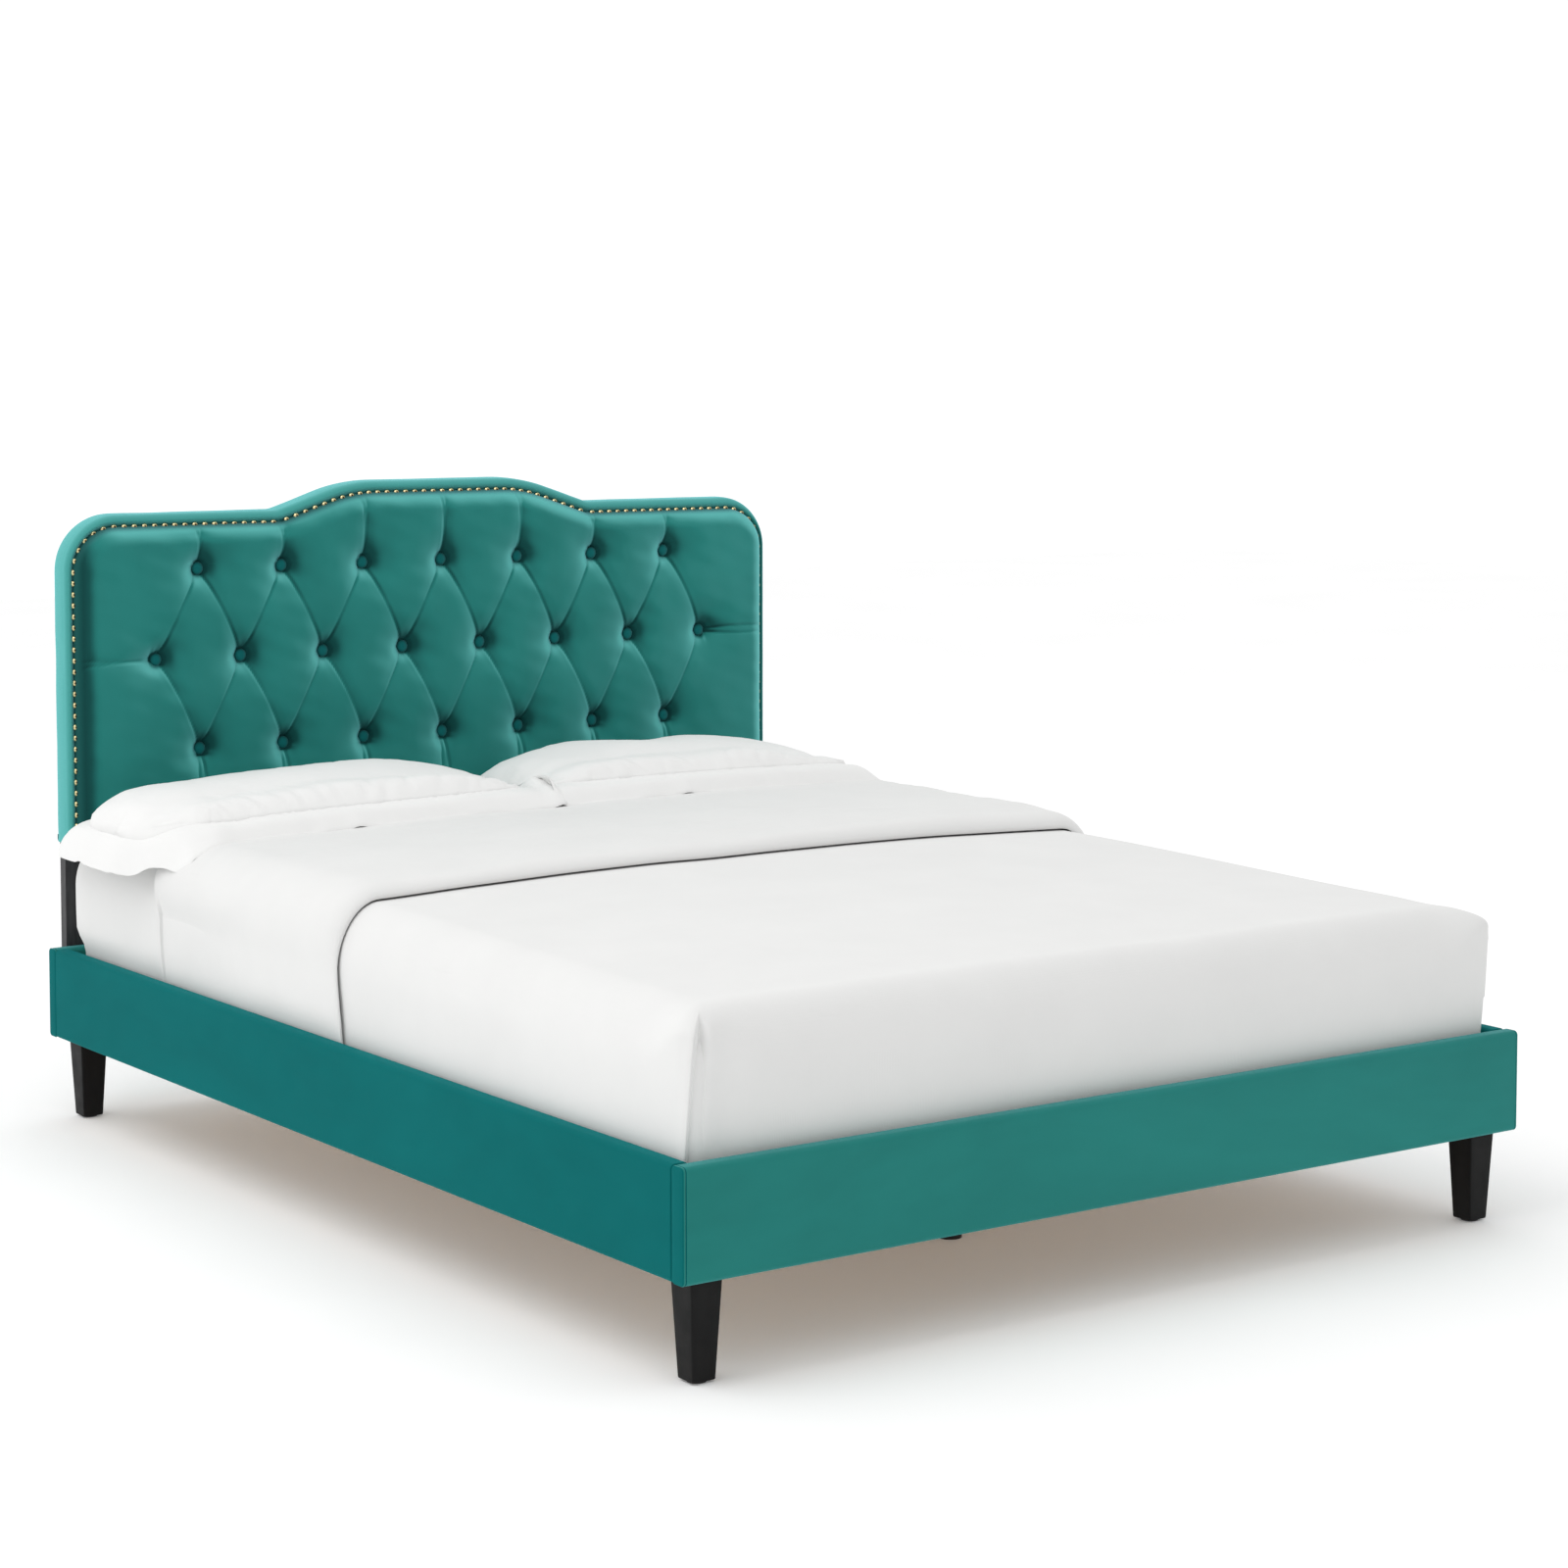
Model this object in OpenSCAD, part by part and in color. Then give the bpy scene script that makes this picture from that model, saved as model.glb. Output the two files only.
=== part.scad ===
// Upholstered headboard bed, queen size, dressed with a mattress, a duvet and two pillows.
// X runs across the bed, +Y towards the head, +Z up. The origin is on the floor, midway along the bed.

/* [Bed] */
// Overall width across the side rails
bed_w = 1640; // [1500:10:1900]
// Length over the foot rail and the head rail
rail_run = 2130; // [2050:10:2200]
// Height of the upholstered rails
rail_h = 165; // [160:1:190]
// Clear height under the rails, which is the height of the legs
leg_h = 150; // [120:1:180]

/* [Headboard] */
// Half the width of the upholstered headboard
hb_half = 789; // [750:0.5:795]
// Bottom edge of the headboard above the floor
hb_bottom = 510; // [480:1:520]
// Height of the two shoulders above the floor
hb_shoulder = 1120; // [1100:1:1200]
// Rise of the crown above the shoulders
hb_rise = 52; // [45:1:70]
// Half the flat width of the crown
crown_in = 138; // [100:1:160]
// Steepest slope between the crown and the shoulders, in degrees
crown_angle = 18.5; // [17:0.5:24]
// Radius of the convex bend beside the crown
crown_r = 350; // [250:10:360]
// Radius of the concave bend at the shoulders
shoulder_r = 60; // [50:5:120]
// Radius of the upper corners
hb_corner = 105; // [70:1:120]
// Thickness of the border from its front face to the back
hb_t = 55; // [55:1:70]
// How far the tufted panel stands in front of the border
tuft_rise = 31.5; // [25:0.5:40]

/* [Trim] */
// Distance between buttons in a row
button_step = 175.5; // [160:0.5:180]
// Diameter of a covered button
button_d = 25; // [20:1:27]
// Diameter of a nailhead
nail_d = 11; // [8:0.5:12]
// Distance between nailheads
nail_step = 20.75; // [14:0.25:30]

/* [Base] */
// Number of slats
slat_count = 15; // [10:1:18]
// Width of a slat
slat_w = 70; // [50:1:75]
// Side of a corner leg at the top
leg_top = 53; // [45:0.5:54]
// Side of a corner leg at the floor
leg_foot = 38.5; // [30:0.5:45]
// Distance between the three centre legs
centre_span = 620; // [500:10:700]

/* [Bedding] */
// Width of the mattress
mattress_w = 1536; // [1500:1:1540]
// Height of the mattress above the slats
mattress_h = 250; // [200:1:260]
// Where the folded-back band of the duvet starts, from the middle of the bed
fold_y = -35; // [-200:5:200]

/* [Hidden] */
$fn = 48;

over = 1;                               // overcut of a cutting shape
half_w = bed_w / 2;
board_behind = 25;                      // how far the headboard stands out behind the head rail
overall_l = rail_run + board_behind;
foot_y = -overall_l / 2;                // outer face of the foot rail
head_y = foot_y + rail_run;             // outer face of the head rail
back_y = overall_l / 2;                 // back face of the headboard

// Rails: a board wrapped in padded fabric, with the fabric turned in on the inner face
rail_t = 30;
wrap_t = 4;
core_t = rail_t - 2 * wrap_t;
core_in = wrap_t + core_t;              // depth of the core's inner face
rail_top = leg_h + rail_h;
turn_top = 35;                          // depth of the fabric's turn-in below the top
turn_bottom = 20;
rail_round = 8;

// Slats and ledgers
slat_t = 15;
slat_drop = 55;                         // slats' underside below the rails' top
slat_bottom = rail_top - slat_drop;
slat_top = slat_bottom + slat_t;
slat_gap = 5;                           // between a slat's end and the rail
slat_half = half_w - rail_t - slat_gap;
ledger_w = 25;
ledger_h = 35;
ledger_end = 80;                        // distance of a ledger's end from the end rail's outer face
ledger_y0 = foot_y + ledger_end;
ledger_y1 = head_y - ledger_end;
slat_margin = 2.5;                      // ledger left free beyond the end slats
slat_y0 = ledger_y0 + slat_w / 2 + slat_margin;
slat_pitch = (ledger_y1 - ledger_y0 - slat_w - 2 * slat_margin) / (slat_count - 1);
slat_screw_in = 17;                     // screws stand this far into the ledger
slat_screw_x = half_w - core_in - slat_screw_in;
screw_r = 2;
screw_head_r = 4;
screw_head_t = 3;
slat_screw_l = 40;
ledger_screw_z = slat_bottom - ledger_h / 2;
ledger_screw_l = 36;
webbing_x = 480;
webbing_w = 25;
webbing_t = 1.2;
webbing_end = 5;                        // webbing stops this far inside the ledgers' ends

// Corner joint
block_side = 62;
block_top = slat_bottom - ledger_h;
bracket_t = 3;
bracket_in = 75;                        // reach of a bracket flange from the outer faces
bracket_z0 = 232;
bracket_z1 = 278;
corner_bolt_z = 252;
corner_bolt_at = [45, 64];
bolt_r = 4;
bolt_head_r = 6.5;
bolt_head_t = 5;
washer_r = 8;
washer_t = 1.6;
insert_r = 5.5;
insert_l = 18;
nut_r = 7.5;
nut_t = 6.5;
bolt_tip = 2;                           // thread that shows beyond a nut
leg_a = 55;                             // leg centre from the side rail's outer face
leg_b = 50;                             // leg centre from the end rail's outer face
hanger_depth = 40;
glide_t = 3;
glide_r = 14;

// Centre beam and its legs
beam_w = 40;
beam_h = 60;
beam_z0 = slat_bottom - beam_h;
beam_y0 = foot_y + core_in + bracket_t;
beam_y1 = head_y - core_in - bracket_t;
hanger_reach = 50;
hanger_half = 45;
hanger_screw_x = 34;
hanger_screw_z = [beam_z0 + beam_h / 4, beam_z0 + beam_h * 3 / 4];
hanger_face_drop = 2;                   // top of a hanger's plate below the slats
hanger_cheek_drop = 15;                 // top of its cheeks below the slats
hanger_screw_r = 2.5;
support_side = 40;
support_z0 = 20;
support_y = [-centre_span, 0, centre_span];
stud_depth = 35;
stem_r = 4.95;                          // threaded stem, drawn at its outside radius
stem_bore_r = 5;
stem_top = 60;
stem_pilot_top = 90;
glide_insert_r = 7.5;
glide_insert_l = 25;
foot_disc_r = 20;
foot_disc_t = 8;

// Headboard layers, from the back forwards
dust_t = 2;
post_t = 23;
post_w = 90;
post_bottom = 158;
post_top = 1012;                        // below the start of the headboard's corner curve
top_rail_z0 = 1030;                     // above the anchors of the top row of buttons
post_back = back_y - dust_t;
post_front = post_back - post_t;        // meets the head rail's outer face
panel_t = 12;
panel_front = post_front - panel_t;
border_front = back_y - hb_t;
tuft_front = border_front - tuft_rise;
hb_wrap = 5;                            // fabric and batting around the edge
skin_t = 4;                             // fabric and batting on the front
tuft_inset = 32;
hb_inner_bottom = hb_bottom + hb_wrap;
post_x = hb_half - hb_wrap - post_w / 2;
frame_rail_h = 70;
batten_x = 307;
batten_w = 45;
dust_inset = 12;

// Buttons, their wells and twines
button_rows = [[hb_bottom + 505, 7], [hb_bottom + 336, 8], [hb_bottom + 163, 7]];
button_t = 8;
button_seat = 3;                        // back of a button in front of the border
well_floor = border_front - button_seat;
well_r = 14;
well_wall = 3;
twine_r = 1.2;
twine_bore_r = 1.5;
anchor_r = 8;
anchor_t = 2;

// Nailheads follow the edge of the border
nail_side = 16.5;                       // from the headboard's side edge to the line of nails
nail_half = hb_half - nail_side;
nail_drop = 23;
nail_corner = 82;
nail_first = 12;                        // lowest nail above the bottom edge
nail_first_z = hb_bottom + nail_first;
nail_h = 3.6;
nail_shank_r = 0.9;
nail_shank_l = 24;
nail_ball_r = (nail_d * nail_d / 4 + nail_h * nail_h) / (2 * nail_h);

// Bolts through the posts
hb_bolt_z = [560, 770, 980];
rail_bolt_in = 12.5;                    // rail bolts stand this far inside a post's inner edge
rail_bolt_x = post_x - post_w / 2 + rail_bolt_in;
rail_bolt_z = [190, 262];
bolt_slack = 0.25;
post_head_r = 8;
post_head_t = 4;
tee_r = 5;
tee_flange_r = 10;
tee_flange_t = 1.5;
tee_l = 10;

// Mattress and what lies on it
rest_gap = 0.3;                         // clearance between pieces that lift apart
mattress_z0 = slat_top + rest_gap;
mattress_foot = 45.5;                   // mattress to the foot rail's outer face
mattress_head = 92.5;                   // mattress to the headboard's back
mattress_y0 = foot_y + mattress_foot;
mattress_y1 = back_y - mattress_head;
mattress_r = 50;
mattress_top = mattress_z0 + mattress_h;
sheet_t = 2;
sheet_lift = 5;                         // sheet's edge above the mattress's underside
sheet_z0 = mattress_z0 + sheet_lift;
duvet_t = 10;
duvet_tuck = 30;                        // the duvet reaches this far below the rails' top
duvet_z0 = rail_top - duvet_tuck;
duvet_top = mattress_top + sheet_t + duvet_t;
duvet_back = 25;                        // the duvet stops this far short of the mattress's head
duvet_head = mattress_y1 - duvet_back;
band_t = 8;
band_gap = 2;                           // the band stops this far above the rails
band_z0 = rail_top + band_gap;
band_top = duvet_top + band_t;
pillow_z0 = band_top + rest_gap;
pillow_h = 116;
pillow_l = 455;
pillow_w = 785;
pillow_mid_y = 745;
pillow_mid_x = 412;
pillow_edge = 8;                        // thickness of the stitched flange
pillow_nx = 16;
pillow_ny = 10;
pillow_square = 2.6;                    // the higher, the squarer the pillow's plan
pillow_full = 0.55;                     // the lower, the fuller its edges

velvet = [0.10, 0.44, 0.42];
pine = [0.80, 0.66, 0.45];
plywood = [0.76, 0.62, 0.42];
zinc = [0.72, 0.73, 0.75];
black_wood = [0.10, 0.10, 0.11];
linen = [0.94, 0.94, 0.93];

// ---------- shared shapes ----------

// A box between two opposite corners
module block(lo, hi) {
    translate(lo) cube(hi - lo);
}

module rod_x(r, x0, x1, y, z) {
    translate([x0, y, z]) rotate([0, 90, 0]) cylinder(r = r, h = x1 - x0);
}

module rod_y(r, y0, y1, x, z) {
    translate([x, y0, z]) rotate([-90, 0, 0]) cylinder(r = r, h = y1 - y0);
}

module rod_z(r, z0, z1, x, y) {
    translate([x, y, z0]) cylinder(r = r, h = z1 - z0);
}

module hex_z(r, z0, z1, x, y) {
    translate([x, y, z0]) cylinder(r = r, h = z1 - z0, $fn = 6);
}

module hex_y(r, y0, y1, x, z) {
    translate([x, y0, z]) rotate([-90, 0, 0]) cylinder(r = r, h = y1 - y0, $fn = 6);
}

// A flat shape in the XZ plane, given thickness from y0 to y1
module board(y0, y1) {
    translate([0, y1, 0]) rotate([90, 0, 0]) linear_extrude(y1 - y0) children();
}

module round_rect(x0, y0, x1, y1, r) {
    translate([x0 + r, y0]) square([x1 - x0 - 2 * r, y1 - y0]);
    translate([x0, y0 + r]) square([x1 - x0, y1 - y0 - 2 * r]);
    for (x = [x0 + r, x1 - r])
        for (y = [y0 + r, y1 - r])
            translate([x, y]) circle(r = r);
}

// Children are drawn from one outer corner inwards, and repeated at all four
module at_corners() {
    for (sx = [0, 1])
        for (sy = [0, 1])
            translate([(2 * sx - 1) * half_w, sy == 0 ? foot_y : head_y, 0])
                mirror([sx, 0, 0])
                    mirror([0, sy, 0])
                        children();
}

// Children are drawn from an outer face inwards along +Y, and placed at the foot or the head
module at_foot() {
    translate([0, foot_y, 0]) children();
}

module at_head() {
    translate([0, head_y, 0]) mirror([0, 1, 0]) children();
}

module at_sides() {
    for (sx = [0, 1])
        mirror([sx, 0, 0]) translate([-half_w, 0, 0]) children();
}

// ---------- rails ----------

module rail_outer_profile() {
    round_rect(0, leg_h, rail_t, rail_top, rail_round);
}

module rail_core_profile() {
    translate([wrap_t, leg_h + wrap_t]) square([core_t, rail_h - 2 * wrap_t]);
}

module rail_cover_profile() {
    difference() {
        rail_outer_profile();
        rail_core_profile();
        translate([core_in - over, leg_h + turn_bottom])
            square([wrap_t + 2 * over, rail_h - turn_bottom - turn_top]);
    }
}

module along_x(x0, x1) {
    translate([x0, 0, 0]) rotate([90, 0, 90]) linear_extrude(x1 - x0) children();
}

module end_insert_bores() {
    for (s = [-1, 1])
        for (a = corner_bolt_at)
            rod_y(insert_r, core_in - insert_l, core_in + over, s * (half_w - a), corner_bolt_z);
}

module hanger_screw_bores() {
    for (x = [-hanger_screw_x, hanger_screw_x])
        for (z = hanger_screw_z)
            rod_y(hanger_screw_r, core_in - insert_l, core_in + over, x, z);
}

module end_rail_core() {
    difference() {
        along_x(wrap_t - half_w, half_w - wrap_t) rail_core_profile();
        end_insert_bores();
        hanger_screw_bores();
    }
}

module end_rail_cover() {
    along_x(wrap_t - half_w, half_w - wrap_t) rail_cover_profile();
    along_x(-half_w, wrap_t - half_w) rail_outer_profile();
    along_x(half_w - wrap_t, half_w) rail_outer_profile();
}

module rail_bolt_bores() {
    for (x = [-rail_bolt_x, rail_bolt_x])
        for (z = rail_bolt_z)
            rod_y(bolt_r + bolt_slack, -over, rail_t + over, x, z);
}

module foot_rail_core() {
    color(pine) at_foot() end_rail_core();
}

module foot_rail_cover() {
    color(velvet) at_foot() end_rail_cover();
}

module head_rail_core() {
    color(pine) at_head() difference() {
        end_rail_core();
        rail_bolt_bores();
    }
}

module head_rail_cover() {
    color(velvet) at_head() difference() {
        end_rail_cover();
        rail_bolt_bores();
    }
}

// A side rail drawn from its outer face inwards along +X
module side_core() {
    difference() {
        board(foot_y + rail_t, head_y - rail_t) rail_core_profile();
        for (y = [foot_y, head_y])
            for (b = corner_bolt_at)
                rod_x(insert_r, core_in - insert_l, core_in + over, y - sign(y) * b, corner_bolt_z);
        ledger_screw_rods();
    }
}

module side_cover() {
    board(foot_y + rail_t, head_y - rail_t) rail_cover_profile();
}

module side_rail_left_core() {
    color(pine) translate([-half_w, 0, 0]) side_core();
}

module side_rail_left_cover() {
    color(velvet) translate([-half_w, 0, 0]) side_cover();
}

module side_rail_right_core() {
    color(pine) mirror([1, 0, 0]) translate([-half_w, 0, 0]) side_core();
}

module side_rail_right_cover() {
    color(velvet) mirror([1, 0, 0]) translate([-half_w, 0, 0]) side_cover();
}

// ---------- ledgers and slats ----------

// Screws stand in every second gap between slats, clear of the slats' own screws
module ledger_screw_rods() {
    for (i = [0 : 2 : slat_count - 2])
        rod_x(
            screw_r,
            core_in + ledger_w - screw_head_t - ledger_screw_l, core_in + ledger_w - screw_head_t,
            slat_y0 + (i + 0.5) * slat_pitch, ledger_screw_z
        );
}

module ledger_screw_heads() {
    for (i = [0 : 2 : slat_count - 2])
        rod_x(
            screw_head_r, core_in + ledger_w - screw_head_t, core_in + ledger_w,
            slat_y0 + (i + 0.5) * slat_pitch, ledger_screw_z
        );
}

// Screws through the ends of the slats, drawn from the rail's outer face inwards
module slat_screw_row() {
    for (i = [0 : slat_count - 1]) {
        rod_z(screw_r, slat_top - slat_screw_l, slat_top - screw_head_t,
              half_w - slat_screw_x, slat_y0 + i * slat_pitch);
        rod_z(screw_head_r, slat_top - screw_head_t, slat_top,
              half_w - slat_screw_x, slat_y0 + i * slat_pitch);
    }
}

module side_ledgers() {
    color(pine) at_sides() difference() {
        block([core_in, ledger_y0, slat_bottom - ledger_h], [core_in + ledger_w, ledger_y1, slat_bottom]);
        ledger_screw_rods();
        ledger_screw_heads();
        slat_screw_row();
    }
}

module ledger_screws() {
    color(zinc) at_sides() {
        ledger_screw_rods();
        ledger_screw_heads();
    }
}

module slats() {
    color(pine) difference() {
        for (i = [0 : slat_count - 1])
            translate([-slat_half, slat_y0 + i * slat_pitch - slat_w / 2, slat_bottom])
                cube([2 * slat_half, slat_w, slat_t]);
        at_sides() slat_screw_row();
    }
}

module slat_screws() {
    color(zinc) at_sides() slat_screw_row();
}

module slat_webbing() {
    color("dimgray")
        for (x = [-webbing_x, webbing_x])
            translate([x - webbing_w / 2, ledger_y0 + webbing_end, slat_bottom - webbing_t])
                cube([webbing_w, ledger_y1 - ledger_y0 - 2 * webbing_end, webbing_t]);
}

// ---------- corner joints ----------

module end_flange_rods(r, b0, b1) {
    for (a = corner_bolt_at)
        rod_y(r, b0, b1, a, corner_bolt_z);
}

module side_flange_rods(r, a0, a1) {
    for (b = corner_bolt_at)
        rod_x(r, a0, a1, b, corner_bolt_z);
}

module corner_brackets() {
    face = core_in + bracket_t;
    color(zinc) at_corners() difference() {
        union() {
            block([core_in, core_in, bracket_z0], [bracket_in, face, bracket_z1]);
            block([core_in, rail_t, bracket_z0], [face, bracket_in, bracket_z1]);
            block([core_in, core_in, bracket_z0], [face, rail_t, bracket_z1]);
        }
        end_flange_rods(bolt_r + bolt_slack, core_in - over, face + over);
        side_flange_rods(bolt_r + bolt_slack, core_in - over, face + over);
    }
}

module corner_washers() {
    face = core_in + bracket_t;
    color(zinc) at_corners() difference() {
        union() {
            end_flange_rods(washer_r, face, face + washer_t);
            side_flange_rods(washer_r, face, face + washer_t);
        }
        end_flange_rods(bolt_r + bolt_slack, face - over, face + washer_t + over);
        side_flange_rods(bolt_r + bolt_slack, face - over, face + washer_t + over);
    }
}

module corner_bolts() {
    seat = core_in + bracket_t + washer_t;
    color(zinc) at_corners() {
        end_flange_rods(bolt_r, core_in - insert_l, seat);
        end_flange_rods(bolt_head_r, seat, seat + bolt_head_t);
        side_flange_rods(bolt_r, core_in - insert_l, seat);
        side_flange_rods(bolt_head_r, seat, seat + bolt_head_t);
    }
}

module rail_inserts() {
    color("goldenrod") at_corners() difference() {
        union() {
            end_flange_rods(insert_r, core_in - insert_l, core_in);
            side_flange_rods(insert_r, core_in - insert_l, core_in);
        }
        end_flange_rods(bolt_r, core_in - insert_l - over, core_in + over);
        side_flange_rods(bolt_r, core_in - insert_l - over, core_in + over);
    }
}

module corner_blocks() {
    color(pine) at_corners() difference() {
        block([rail_t, rail_t, leg_h], [rail_t + block_side, rail_t + block_side, block_top]);
        rod_z(bolt_r + bolt_slack, leg_h - over, block_top + over, leg_a, leg_b);
    }
}

// A square leg whose four sides taper alike
module tapered_leg() {
    outline = [
        [-leg_foot / 2, glide_t], [leg_foot / 2, glide_t],
        [leg_top / 2, leg_h], [-leg_top / 2, leg_h]
    ];
    intersection() {
        board(-leg_top / 2, leg_top / 2) polygon(outline);
        rotate([0, 0, 90]) board(-leg_top / 2, leg_top / 2) polygon(outline);
    }
}

module corner_legs() {
    color(black_wood) at_corners() difference() {
        translate([leg_a, leg_b, 0]) tapered_leg();
        rod_z(bolt_r, leg_h - hanger_depth, leg_h + over, leg_a, leg_b);
    }
}

module leg_hanger_bolts() {
    color(zinc) at_corners()
        rod_z(bolt_r, leg_h - hanger_depth, block_top + washer_t + nut_t + bolt_tip, leg_a, leg_b);
}

module leg_nuts() {
    color(zinc) at_corners() difference() {
        union() {
            rod_z(washer_r, block_top, block_top + washer_t, leg_a, leg_b);
            hex_z(nut_r, block_top + washer_t, block_top + washer_t + nut_t, leg_a, leg_b);
        }
        rod_z(bolt_r, block_top - over, block_top + washer_t + nut_t + over, leg_a, leg_b);
    }
}

module leg_glides() {
    color("dimgray") at_corners() rod_z(glide_r, 0, glide_t, leg_a, leg_b);
}

// ---------- centre beam ----------

module stud_rods(r, z0, z1) {
    for (y = support_y)
        rod_z(r, z0, z1, 0, y);
}

module centre_beam() {
    color(pine) difference() {
        block([-beam_w / 2, beam_y0, beam_z0], [beam_w / 2, beam_y1, slat_bottom]);
        stud_rods(bolt_r, beam_z0 - over, beam_z0 + stud_depth);
    }
}

// A steel shoe that holds one end of the beam, drawn from the end rail's outer face inwards
module beam_hanger() {
    face = core_in + bracket_t;
    cheek_x = beam_w / 2 + bracket_t;
    difference() {
        union() {
            block([-hanger_half, core_in, beam_z0 - bracket_t], [hanger_half, face, slat_bottom - hanger_face_drop]);
            block([-cheek_x, core_in, beam_z0 - bracket_t],
                  [cheek_x, face + hanger_reach, slat_bottom - hanger_cheek_drop]);
        }
        block([-beam_w / 2, face, beam_z0], [beam_w / 2, face + hanger_reach + over, slat_bottom]);
        for (x = [-hanger_screw_x, hanger_screw_x])
            for (z = hanger_screw_z)
                rod_y(hanger_screw_r, core_in - over, face + over, x, z);
    }
}

module beam_hangers() {
    color(zinc) {
        at_foot() beam_hanger();
        at_head() beam_hanger();
    }
}

module hanger_screw_set() {
    face = core_in + bracket_t;
    for (x = [-hanger_screw_x, hanger_screw_x])
        for (z = hanger_screw_z) {
            rod_y(hanger_screw_r, core_in - insert_l, face, x, z);
            rod_y(screw_head_r, face, face + screw_head_t, x, z);
        }
}

module hanger_screws() {
    color(zinc) {
        at_foot() hanger_screw_set();
        at_head() hanger_screw_set();
    }
}

module support_legs() {
    color(black_wood) difference() {
        for (y = support_y)
            block([-support_side / 2, y - support_side / 2, support_z0],
                  [support_side / 2, y + support_side / 2, beam_z0]);
        stud_rods(bolt_r, beam_z0 - stud_depth, beam_z0 + over);
        stud_rods(glide_insert_r, support_z0 - over, support_z0 + glide_insert_l);
        stud_rods(stem_bore_r, support_z0, stem_pilot_top);
    }
}

module support_leg_studs() {
    color(zinc) stud_rods(bolt_r, beam_z0 - stud_depth, beam_z0 + stud_depth);
}

module glide_inserts() {
    color("goldenrod") difference() {
        stud_rods(glide_insert_r, support_z0, support_z0 + glide_insert_l);
        stud_rods(stem_bore_r, support_z0 - over, support_z0 + glide_insert_l + over);
    }
}

module levelling_glide(y) {
    color("dimgray") {
        rod_z(foot_disc_r, 0, foot_disc_t, 0, y);
        rod_z(stem_r, foot_disc_t, stem_top, 0, y);
    }
}

module levelling_glide_foot() {
    levelling_glide(support_y[0]);
}

module levelling_glide_middle() {
    levelling_glide(support_y[1]);
}

module levelling_glide_head() {
    levelling_glide(support_y[2]);
}

// ---------- headboard ----------

// The top edge: flat crown, convex bend, straight slope, concave bend, flat shoulder
bend_x1 = crown_in + crown_r * sin(crown_angle);
bend_z1 = crown_r * (1 - cos(crown_angle));
bend_z2 = hb_rise - shoulder_r * (1 - cos(crown_angle));
bend_x2 = bend_x1 + (bend_z2 - bend_z1) / tan(crown_angle);
crown_out = bend_x2 + shoulder_r * sin(crown_angle);

// Slope angle of the top edge at distance x from the middle
function edge_angle(x) =
    x <= crown_in ? 0
    : x < bend_x1 ? asin((x - crown_in) / crown_r)
    : x < bend_x2 ? crown_angle
    : x < crown_out ? asin((crown_out - x) / shoulder_r)
    : 0;

// Fall of the top edge below the crown at distance x from the middle
function edge_fall(x) =
    x <= crown_in ? 0
    : x < bend_x1 ? crown_r * (1 - cos(edge_angle(x)))
    : x < bend_x2 ? bend_z1 + (x - bend_x1) * tan(crown_angle)
    : x < crown_out ? hb_rise - shoulder_r * (1 - cos(edge_angle(x)))
    : hb_rise;

// A point on the top edge at x, moved square to the edge by drop
function top_point(x, drop) =
    let (a = edge_angle(abs(x)))
    [x - sign(x) * drop * sin(a), hb_shoulder + hb_rise - edge_fall(abs(x)) - drop * cos(a)];

// Outline of the headboard with half width w, top edge lowered by drop and corner radius r
bend_steps = 7;
corner_steps = 10;
bend_xs = concat(
    [for (i = [0 : bend_steps]) bend_x1 * i / bend_steps + crown_in * (1 - i / bend_steps)],
    [for (i = [0 : bend_steps]) crown_out * i / bend_steps + bend_x2 * (1 - i / bend_steps)]
);
bend_n = len(bend_xs);
function hb_outline(w, drop, r, bottom) = concat(
    [[-w, bottom], [w, bottom]],
    [for (i = [0 : corner_steps])
        [w - r + r * cos(90 * i / corner_steps), hb_shoulder - drop - r + r * sin(90 * i / corner_steps)]],
    [for (i = [1 : bend_n]) top_point(bend_xs[bend_n - i], drop)],
    [for (x = bend_xs) top_point(-x, drop)],
    [for (i = [0 : corner_steps])
        [r - w - r * sin(90 * i / corner_steps), hb_shoulder - drop - r + r * cos(90 * i / corner_steps)]]
);

// The outline moved inwards by d on the sides and the top
module hb_face(d, bottom) {
    polygon(hb_outline(hb_half - d, d, hb_corner - d, bottom));
}

// Places of the buttons: rows of seven, eight and seven, each row moved by half a step
button_spots = [
    for (row = button_rows)
        for (i = [0 : row[1] - 1])
            [(i - (row[1] - 1) / 2) * button_step, row[0]]
];

module button_rods(r, y0, y1) {
    for (p = button_spots)
        rod_y(r, y0, y1, p[0], p[1]);
}

module hb_bolt_rods(r, y0, y1) {
    for (x = [-post_x, post_x])
        for (z = hb_bolt_z)
            rod_y(r, y0, y1, x, z);
}

module post_bolt_rods(r, y0, y1) {
    for (x = [-rail_bolt_x, rail_bolt_x])
        for (z = rail_bolt_z)
            rod_y(r, y0, y1, x, z);
}

module headboard_panel() {
    color(plywood) difference() {
        board(panel_front, post_front) hb_face(hb_wrap, hb_inner_bottom);
        button_rods(twine_bore_r, panel_front - over, post_front + over);
        hb_bolt_rods(tee_r, panel_front - over, post_front + over);
        hb_bolt_rods(tee_flange_r, panel_front - over, panel_front + tee_flange_t);
    }
}

module headboard_top_rail() {
    color(pine) board(post_front, post_back) intersection() {
        hb_face(hb_wrap, hb_inner_bottom);
        translate([-hb_half, top_rail_z0]) square([2 * hb_half, hb_shoulder]);
    }
}

module headboard_bottom_rail() {
    inner = post_x - post_w / 2;
    color(pine)
        block([-inner, post_front, hb_inner_bottom], [inner, post_back, hb_inner_bottom + frame_rail_h]);
}

module headboard_battens() {
    color(pine)
        for (x = [-batten_x, batten_x])
            block([x - batten_w / 2, post_front, hb_inner_bottom + frame_rail_h],
                  [x + batten_w / 2, post_back, top_rail_z0]);
}

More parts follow.
